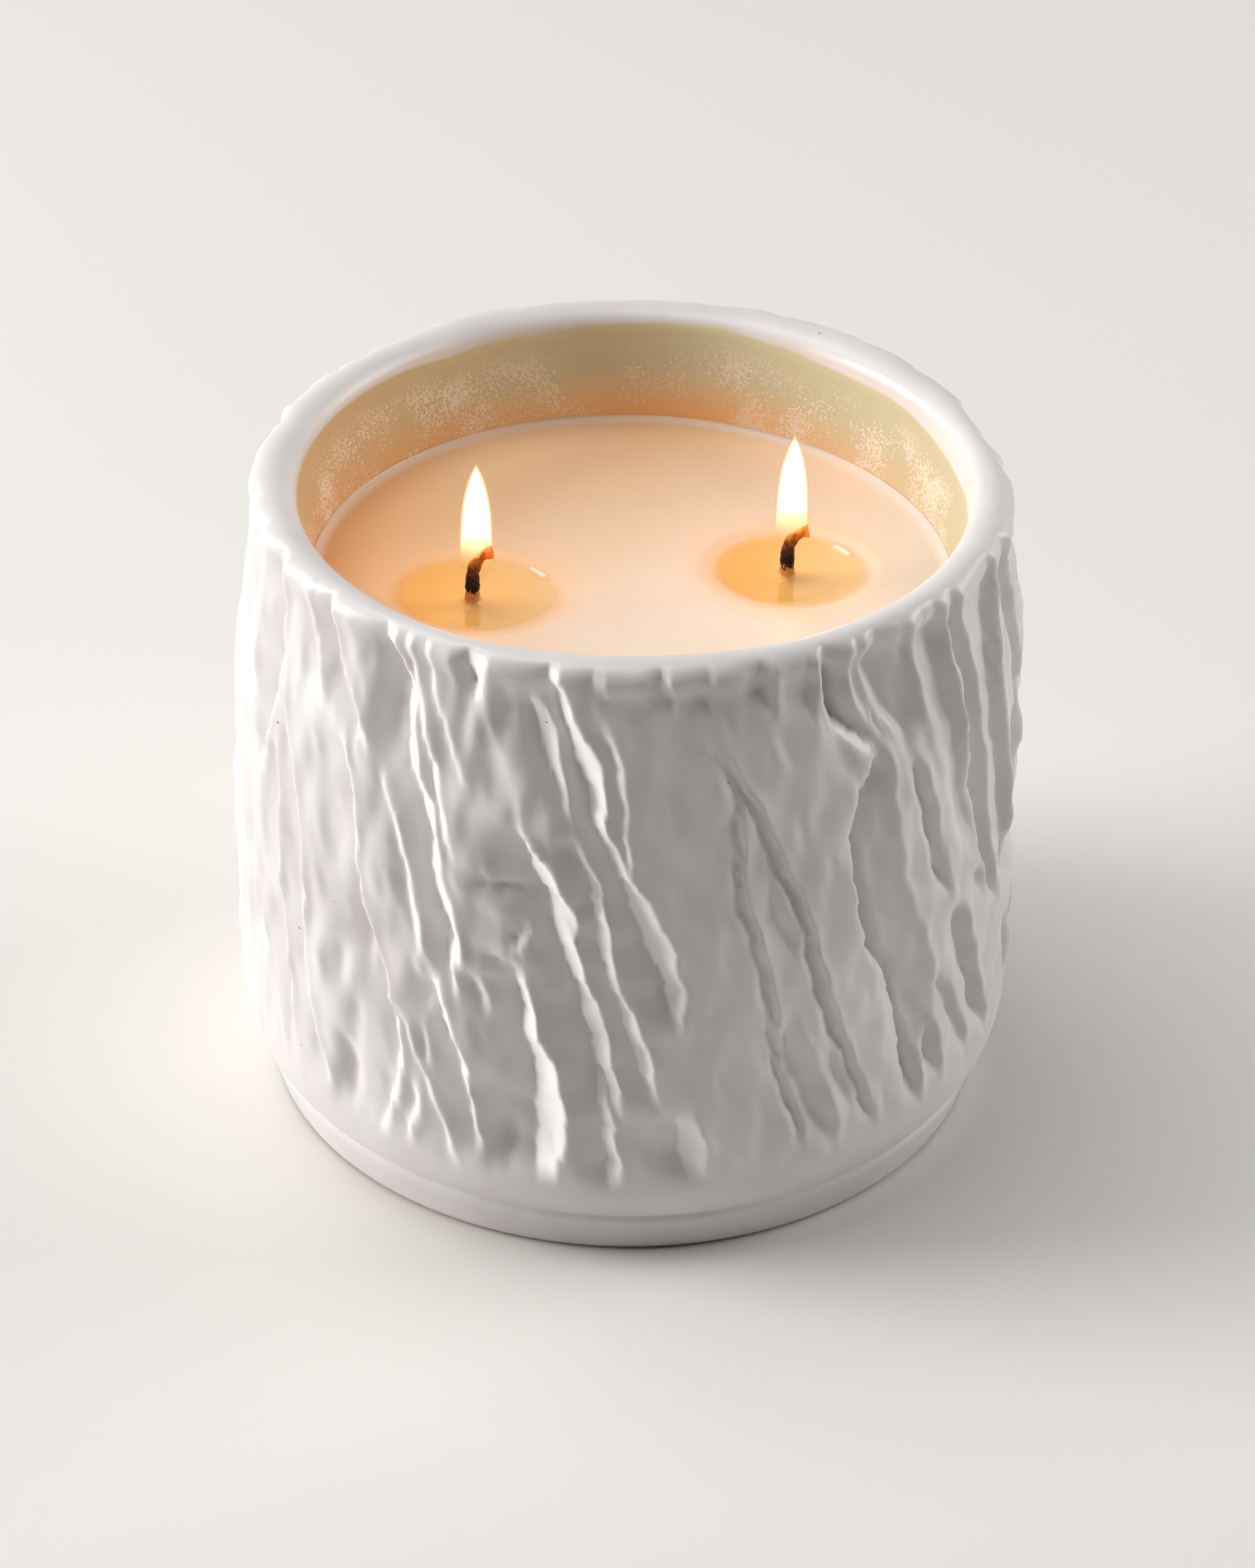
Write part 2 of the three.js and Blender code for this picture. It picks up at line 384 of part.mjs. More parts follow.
// The bark: the sum of the ledges, levelled off where it is deepest, and the dents and swell of the plates.
const ledgeLines = ledges.map(measured);
function barkDepth(angle, height) {
  const arc = bellyRadius * angle;
  const sumOver = (list, depthOf) =>
    list.reduce((sum, item) => sum + depthOf(item, 0) + depthOf(item, 180), 0);
  const cuts = sumOver(ledgeLines, (ledge, turn) => ledgeDepth(ledge, turn, arc, height));
  const levelled = cuts / (1 + (cuts / deepestSum) ** levelling) ** (1 / levelling);
  const hollows = sumOver(dents, (dent, turn) => dentDepth(dent, turn, angle, height));
  const wave = Math.sin(swellLobes * angle + swellDrift * height);
  const swell = plateSwell * (1 + wave * Math.sin(swellRate * height - swellTwist * angle));
  const fromHeel = smoothstep(height, carvedFrom, carvedFrom + carveFadeBelow);
  const toLip = 1 - (1 - lipCarving) * smoothstep(height, lipTop - carveFadeAbove, lipTop);
  return (levelled + hollows + swell) * fromHeel * toLip;
}

// The smooth wall under the bark: a power curve from the belly up to the lip and one down to the crease.
function wallRadius(height) {
  if (height > bellyHeight) {
    const rise = (height - bellyHeight) / (lipTop - bellyHeight);
    return bellyRadius - (bellyRadius - shoulderRadius) * rise ** shoulderRoundness;
  }
  const drop = (bellyHeight - height) / (bellyHeight - footBandHeight);
  return bellyRadius - (bellyRadius - creaseRadius) * drop ** heelRoundness;
}

// The cavity's side: a slight draft, then a flare above the wax.
function cavitySide(height) {
  const draft = (cavityDraft * (height - floorLevel)) / (lipTop - floorLevel);
  return cavityRadius + draft + mouthFlare * smoothstep(height, lipTop - lipReach, lipTop);
}

// The cavity's outline from a height down to the middle of the floor, drawn in by an inset all over.
function cavityProfile(top, inset) {
  const bend = cavityFillet - inset;
  const bendHeight = floorLevel + cavityFillet;
  const bendRadius = cavitySide(bendHeight) - cavityFillet;
  const corner = range(filletSteps + 1, (index) => {
    const sweep = (index / filletSteps) * (Math.PI / 2);
    return [bendRadius + bend * Math.cos(sweep), bendHeight - bend * Math.sin(sweep)];
  });
  return [[cavitySide(top) - inset, top], ...corner, [0, floorLevel + inset]];
}

function makeJar() {
  // The columns lean with the bark's grain, so that the facets run along the ledges.
  const leanAt = (height) => {
    const carved = THREE.MathUtils.clamp(height, carvedFrom, lipTop);
    return radians(grainLean * (lipTop - carved));
  };
  const ring = (columns, lean, height, radiusAt) =>
    range(columns, (column) => {
      const angle = (2 * Math.PI * column) / columns + lean;
      const radius = radiusAt(angle);
      const place = angle - Math.PI / 2; // the relief's angles count from the front, which faces -Y
      return new THREE.Vector3(radius * Math.cos(place), radius * Math.sin(place), height);
    });
  const plainRing = (lean) => ([radius, height]) => ring(plainColumns, lean, height, () => radius);

  const recessRadius = footRadius - footRingWidth;
  const heel = heelSteps.map((share) => {
    const height = footBandHeight + share * (carvedFrom - footBandHeight);
    return [wallRadius(height), height];
  });
  const underside = [
    [recessRadius - footRecess / 2, footRecess],
    [recessRadius, 0],
    [footRadius - footChamfer, 0],
    [footRadius, footChamfer],
    [footBandRadius, footBandHeight - footBandEdge],
    [creaseRadius, footBandHeight],
    ...heel,
  ].map(plainRing(leanAt(0)));

  const lipShare = (height) => smoothstep(height, lipTop - lipReach, lipTop);
  const hollowLevel = lipTop - hollowHeight;
  const wallHeights = range(carvedRows, (row) => {
    return carvedFrom + ((hollowLevel - carvedFrom) * row) / (carvedRows - 1);
  });
  const wall = [...wallHeights, lipTop].map((height) => {
    return ring(fineColumns, leanAt(height), height, (angle) => {
      const smooth = wallRadius(height) + lipShare(height) * edgeOffset(lipEdge, angle);
      return smooth - hollowDepth(angle, height) - barkDepth(angle, height);
    });
  });

  // The lip is half an ellipse between its two edges, and the bark dies out over its outer side.
  const lip = lipSweeps.map((share, step) => {
    const columns = step === 0 ? fineColumns : lipColumns;
    const across = Math.cos(Math.PI * share);
    const height = lipTop + lipRounding * Math.sin(Math.PI * share);
    return ring(columns, 0, height, (angle) => {
      const outer = shoulderRadius + edgeOffset(lipEdge, angle);
      const inner = shoulderRadius - lipWidth + edgeOffset(mouthEdge, angle);
      const bark = Math.max(0, across) ** 2 * barkDepth(angle, lipTop);
      return (outer + inner) / 2 + ((outer - inner) / 2) * across - bark;
    });
  });

  const mouth = mouthSteps.map((share) => {
    const height = lipTop - lipReach * share;
    return ring(plainColumns, 0, height, (angle) => {
      return cavitySide(height) + lipShare(height) * edgeOffset(mouthEdge, angle);
    });
  });
  const cavity = cavityProfile(lipTop - lipReach, 0);
  const floorMiddle = cavity.pop();
  return skin([
    [new THREE.Vector3(0, 0, footRecess)],
    ...underside,
    ...wall,
    ...lip,
    ...mouth,
    ...cavity.map(plainRing(0)),
    [new THREE.Vector3(0, 0, floorMiddle[1])],
  ]);
}

// Half an ellipsoid with a straight collar above it, the form of a melted pool grown by an inset.
function poolBowl({ pool, poolHalfWidth }, grow, top) {
  const ring = (share, height) =>
    range(poolColumns, (column) => {
      const angle = (2 * Math.PI * column) / poolColumns;
      const alongX = (poolHalfWidth + grow) * share * Math.cos(angle);
      const alongY = (poolHalfLength + grow) * share * Math.sin(angle);
      return new THREE.Vector3(pool[0] + alongX, pool[1] + alongY, height);
    });
  const bowl = range(Math.ceil(bowlSteps), (index) => {
    const sweep = ((bowlSteps - index) / bowlSteps) * (Math.PI / 2);
    return ring(Math.cos(sweep), poolLevel - (poolDepth + grow) * Math.sin(sweep));
  });
  return skin([
    [new THREE.Vector3(...pool, poolLevel - poolDepth - grow)],
    ...bowl.slice(1),
    ring(1, poolLevel),
    ...(top > poolLevel ? [ring(1, top)] : []),
    [new THREE.Vector3(...pool, top)],
  ]);
}

const stickerBottom = floorLevel + seatGap;
const tinBottom = stickerBottom + stickerThickness + seatGap;
const tinTop = tinBottom + tinThickness;
const collarTop = tinBottom + collarHeight;
const collarBore = wickRadius + crimpGap;
const collarRadius = collarBore + collarWall;

// The space that a wick and its sustainer take out of the wax, from below the wax to above it.
function wickSpace({ wick }) {
  return turned(
    [
      [0, floorLevel - cutMargin],
      [sustainerRadius + seatGap, floorLevel - cutMargin],
      [sustainerRadius + seatGap, tinTop + seatGap],
      [collarRadius + seatGap, tinTop + seatGap],
      [collarRadius + seatGap, collarTop + seatGap],
      [wickRadius + seatGap, collarTop + seatGap],
      [wickRadius + seatGap, jarHeight],
      [0, jarHeight],
    ],
    smallColumns,
  ).translate(...wick, 0);
}

function makeWax() {
  const [, ...side] = cavityProfile(waxLevel, seatGap).reverse();
  const rim = side.pop();
  const profile = [
    [0, floorLevel + seatGap],
    ...side,
    [rim[0], waxLevel + waxCreep],
    [rim[0] - waxCreepWidth, waxLevel],
    [0, waxLevel],
  ];
  const spaces = wickSpots.flatMap((spot) => [poolBowl(spot, seatGap, jarHeight), wickSpace(spot)]);
  return cut(turned(profile, plainColumns), spaces);
}

function makePool(spot) {
  return cut(poolBowl(spot, 0, poolLevel), [wickSpace(spot)]);
}

function makeSustainer() {
  return turned(
    [
      [collarBore, tinBottom],
      [sustainerRadius, tinBottom],
      [sustainerRadius, tinTop],
      [collarRadius, tinTop],
      [collarRadius, collarTop],
      [collarBore, collarTop],
      [collarBore, tinBottom],
    ],
    smallColumns,
  );
}

function makeSticker() {
  const disc = new THREE.CylinderGeometry(stickerRadius, stickerRadius, stickerThickness, smallColumns);
  return disc.rotateX(Math.PI / 2).translate(0, 0, stickerBottom + stickerThickness / 2);
}

// The wick's middle line: straight up out of its sustainer, then curling over to the side at the top.
function wickStations(stand, setback) {
  const bend = new THREE.QuadraticBezierCurve3(
    new THREE.Vector3(0, 0, poolLevel + wickBendStart),
    new THREE.Vector3(0, 0, poolLevel + stand - wickBendEase),
    new THREE.Vector3(wickReach, 0, poolLevel + stand),
  );
  const share = 1 - setback / bend.getLength();
  const upright = { point: new THREE.Vector3(0, 0, tinBottom), ahead: new THREE.Vector3(0, 0, 1) };
  const bent = range(bendSteps + 1, (index) => {
    const along = (share * index) / bendSteps;
    return { point: bend.getPointAt(along), ahead: bend.getTangentAt(along) };
  });
  return [upright, ...bent];
}

function tubeRings(stations, radius) {
  const across = new THREE.Vector3(0, 1, 0);
  return stations.map(({ point, ahead }) =>
    range(wickSides, (side) => {
      const angle = (2 * Math.PI * side) / wickSides;
      const sideways = across.clone().cross(ahead);
      const offset = sideways.multiplyScalar(Math.cos(angle)).addScaledVector(across, Math.sin(angle));
      return offset.multiplyScalar(radius).add(point);
    }),
  );
}

function makeWick({ stand }) {
  const stations = wickStations(stand, 0);
  const outside = tubeRings(stations, wickRadius);
  const bore = tubeRings(stations, wickBoreRadius).reverse();
  return skin([...outside, ...bore, outside[0]]);
}

function makeCore({ stand }) {
  const stations = wickStations(stand, coreSetback);
  const rings = tubeRings(stations, coreRadius);
  return skin([[stations[0].point], ...rings, [stations.at(-1).point]]);
}

function piece(name, geometry, color, roughness, metalness = 0) {
  const mesh = new THREE.Mesh(geometry, new THREE.MeshStandardMaterial({ color, roughness, metalness }));
  mesh.name = name;
  return mesh;
}

const candle = new THREE.Group();
candle.add(piece("jar", makeJar(), 0xe9e6e2, 0.35));
candle.add(piece("wax_fill", makeWax(), 0xf3dcc0, 0.5));
for (const spot of wickSpots) {
  candle.add(piece(`melt_pool_${spot.side}`, makePool(spot), 0xe9b56a, 0.1));
  const fittings = new THREE.Group();
  fittings.position.set(...spot.wick, 0);
  fittings.add(piece(`wick_${spot.side}`, makeWick(spot), 0x2a211c, 0.95));
  fittings.add(piece(`wick_core_${spot.side}`, makeCore(spot), 0xcfc6b4, 0.9));
  fittings.add(piece(`wick_sustainer_${spot.side}`, makeSustainer(), 0xb9bcc0, 0.35, 1));
  fittings.add(piece(`wick_sticker_${spot.side}`, makeSticker(), 0xf0efe9, 0.8));
  candle.add(fittings);
}

export default candle;
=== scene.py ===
# A burning container candle: bark-carved ceramic jar, wax, melted pools, wicks and flames.
import math
import bpy
import numpy as np
from mathutils import Matrix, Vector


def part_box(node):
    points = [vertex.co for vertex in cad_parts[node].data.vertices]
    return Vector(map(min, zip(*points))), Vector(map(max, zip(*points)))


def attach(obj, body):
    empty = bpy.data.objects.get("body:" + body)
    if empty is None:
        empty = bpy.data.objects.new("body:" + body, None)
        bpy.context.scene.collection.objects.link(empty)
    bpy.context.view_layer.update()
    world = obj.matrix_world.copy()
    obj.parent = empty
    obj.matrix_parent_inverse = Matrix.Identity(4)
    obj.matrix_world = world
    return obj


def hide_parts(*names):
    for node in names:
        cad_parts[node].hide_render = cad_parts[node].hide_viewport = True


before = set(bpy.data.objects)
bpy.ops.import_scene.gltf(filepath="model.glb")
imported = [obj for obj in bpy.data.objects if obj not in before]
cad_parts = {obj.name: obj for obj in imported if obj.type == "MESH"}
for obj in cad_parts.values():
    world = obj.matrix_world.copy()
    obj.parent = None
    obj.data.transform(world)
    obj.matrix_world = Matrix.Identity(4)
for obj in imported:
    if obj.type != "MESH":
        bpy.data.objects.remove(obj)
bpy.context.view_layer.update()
mm = 0.001

camera = {
    "distance": 615.5,  # from the point looked at, in mm
    "aim": (0.0, 0.0, 40.0),
    "elevation": 33.61,
    "roll": 1.2,
    "lens": 108.5,
}
lamps = {
    # name: (degrees round from +X, elevation, distance, size, watts, colour)
    "key": (178, 18, 1.3, 0.75, 18.4, "#fffdfc"),
    "overhead": (160, 72, 1.3, 1.0, 9.0, "#ffffff"),
    "fill": (12, 25, 1.3, 0.8, 8.8, "#ffffff"),
}
studio = {
    "world": "#ffffff",
    "worldStrength": 0.02,
    "backdrop": "#e9e6e1",
    "floor": "#e7e4df",
    "floorCorners": [(-4, -4, 0), (4, -4, 0), (4, 6, 0), (-4, 6, 0)],  # metres
}


def linearColour(hexColour):
    # sRGB to linear: the power curve of the standard, with its straight toe
    channels = [int(hexColour[start:start + 2], 16) / 255 for start in (1, 3, 5)]
    return [c / 12.92 if c <= 0.04045 else ((c + 0.055) / 1.055) ** 2.4 for c in channels] + [1.0]


def setInputs(tree, node, inputs):
    # each input takes a number, a hex colour, a socket, or a node for its first output in use
    for name, value in inputs.items():
        if isinstance(value, bpy.types.Node):
            value = next(output for output in value.outputs if output.enabled)
        if isinstance(value, bpy.types.NodeSocket):
            tree.links.new(value, node.inputs[name])
        else:
            node.inputs[name].default_value = linearColour(value) if isinstance(value, str) else value


def addNode(tree, kind, inputs=None, stops=(), **settings):
    # stops are a colour ramp's: places from 0 to 1, with their colours
    made = tree.nodes.new("ShaderNode" + kind)
    for setting, value in settings.items():
        setattr(made, setting, value)
    for count, (position, hexColour) in enumerate(stops):
        elements = made.color_ramp.elements
        element = elements[count] if count < len(elements) else elements.new(position)
        element.position = position
        element.color = linearColour(hexColour)
    setInputs(tree, made, inputs or {})
    return made


def startMaterial(name):
    material = bpy.data.materials.new(name)
    material.use_nodes = True
    tree = material.node_tree
    place = addNode(tree, "TexCoord").outputs["Object"]
    return material, tree, tree.nodes["Principled BSDF"], place


def layColour(tree, under, hexColour, value, start, end, share=1.0):
    # one colour over another: none of it where the value is at start, growing to a share of it at end;
    # a map range's inputs are value, from, to, and the two it gives, which are 0 and 1 if not set
    amount = addNode(tree, "MapRange", {0: value, 1: start, 2: end, 4: share})
    return addNode(tree, "Mix", {"Factor": amount, "A": under, "B": hexColour}, data_type="RGBA")


def distanceFromAxis(tree, axes):
    flat = addNode(tree, "CombineXYZ", {0: axes["X"], 1: axes["Y"]})
    return addNode(tree, "VectorMath", {0: flat}, operation="LENGTH")


def addObject(name, data):
    made = bpy.data.objects.new(name, data)
    bpy.context.scene.collection.objects.link(made)
    return made


def pieceFromRings(name, rings, material, looped=False, attributes=None):
    # Rings of points stacked into a closed skin. Neighbouring rings share their points one to one, or one
    # ring has a whole multiple of the other's, and a ring of one point closes an end.
    counts = [len(ring) for ring in rings]
    starts = np.concatenate([[0], np.cumsum(counts)])
    order = list(range(len(rings))) + ([0] if looped else [])
    faces = []
    for low, high in zip(order[:-1], order[1:]):
        coarse = min(counts[low], counts[high])
        if coarse == 1:
            many = np.arange(max(counts[low], counts[high]))
            after = np.roll(many, -1)
            if counts[low] == 1:
                corners = [np.full(len(many), starts[low]), starts[high] + after, starts[high] + many]
            else:
                corners = [starts[low] + many, starts[low] + after, np.full(len(many), starts[high])]
            faces += np.stack(corners, 1).tolist()
            continue
        here = np.arange(coarse)
        lowShare = counts[low] // coarse
        highShare = counts[high] // coarse
        lowRun = [starts[low] + (here * lowShare + step) % counts[low] for step in range(lowShare + 1)]
        highRun = [starts[high] + (here * highShare + step) % counts[high] for step in range(highShare + 1)]
        faces += np.stack(lowRun + highRun[::-1], 1).tolist()
    mesh = bpy.data.meshes.new(name)
    mesh.from_pydata((np.concatenate(rings) * mm).tolist(), [], faces)
    mesh.polygons.foreach_set("use_smooth", np.ones(len(mesh.polygons), bool))
    for label, values in (attributes or {}).items():
        mesh.attributes.new(label, "FLOAT", "POINT").data.foreach_set("value", np.concatenate(values))
    mesh.materials.append(material)
    mesh.validate()
    return addObject(name, mesh)


def evenAngles(columns):
    return np.arange(columns) * 2 * np.pi / columns


def ringAt(angle, radius, height):
    # a ring of points round the jar's axis, at angles counted from the front
    return np.stack([radius * np.sin(angle), -radius * np.cos(angle), np.full_like(angle, height)], 1)


def smoothRise(value, low, high):
    # 0 below low and 1 above high, with 3s^2 - 2s^3 between
    share = np.clip((value - low) / (high - low), 0, 1)
    return share * share * (3 - 2 * share)


# The jar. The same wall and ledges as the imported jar's, on a mesh fine enough for the ledges' edges. Mm.
jar = {
    "height": 86.6,
    "bellyRadius": 50.85,
    "bellyHeight": 40.0,
    "shoulderRadius": 47.75,
    "shoulderRoundness": 2.0,
    "heelRoundness": 10.0,
    "lipWidth": 6.0,
    "lipRounding": 2.2,
    "lipReach": 12.0,  # how far down the wall its uneven outline is felt
    "lipHollow": 0.7,
    "lipHollowReach": (2.5, 20.0),  # below the lip: where it is deepest, and where it ends
    "footRadius": 46.6,
    "footBandHeight": 6.5,
    "footBandRadius": 48.0,
    "creaseRadius": 47.7,
    "footRingWidth": 7.5,
    "footRecess": 2.0,
    "floorThickness": 5.0,
    "cavityRadius": 40.0,
    "cavityDraft": 0.85,
    "mouthFlare": 0.9,
    "cavityFillet": 6.0,
    "carvedFrom": 12.0,
    "carveFadeBelow": 5.0,
    "carveFadeAbove": 3.0,
    "lipCarving": 0.5,
    "ledgeFade": 5.0,
    "declinePower": 1.5,
    "declineStretch": 1.7,
    "faceStretch": 1.25,
    "cutShare": 0.6,
    "cutByFace": 0.5,
    "deepestCut": 2.8,
    "deepestSum": 3.9,
    "brow": 0.22,
    "browWidth": 0.9,
    "highlightWidths": (1.0, 1.9),  # face widths between which the painted highlight sets in
    "highlightEnd": (9, 14),  # degrees from the front between which the painted highlight fades out
    "soften": 1.2,
    "tremble": 0.2,
    "drawnHeight": 91.0,  # steps
    "grainLean": 0.31,  # degrees per mm
    "plateSwell": 0.22,
    "plateRipple": 0.17,
    "columns": 1200,
    "rows": 64,
    "plainColumns": 240,
    "lipRows": 13,
    "sideRows": 24,
}
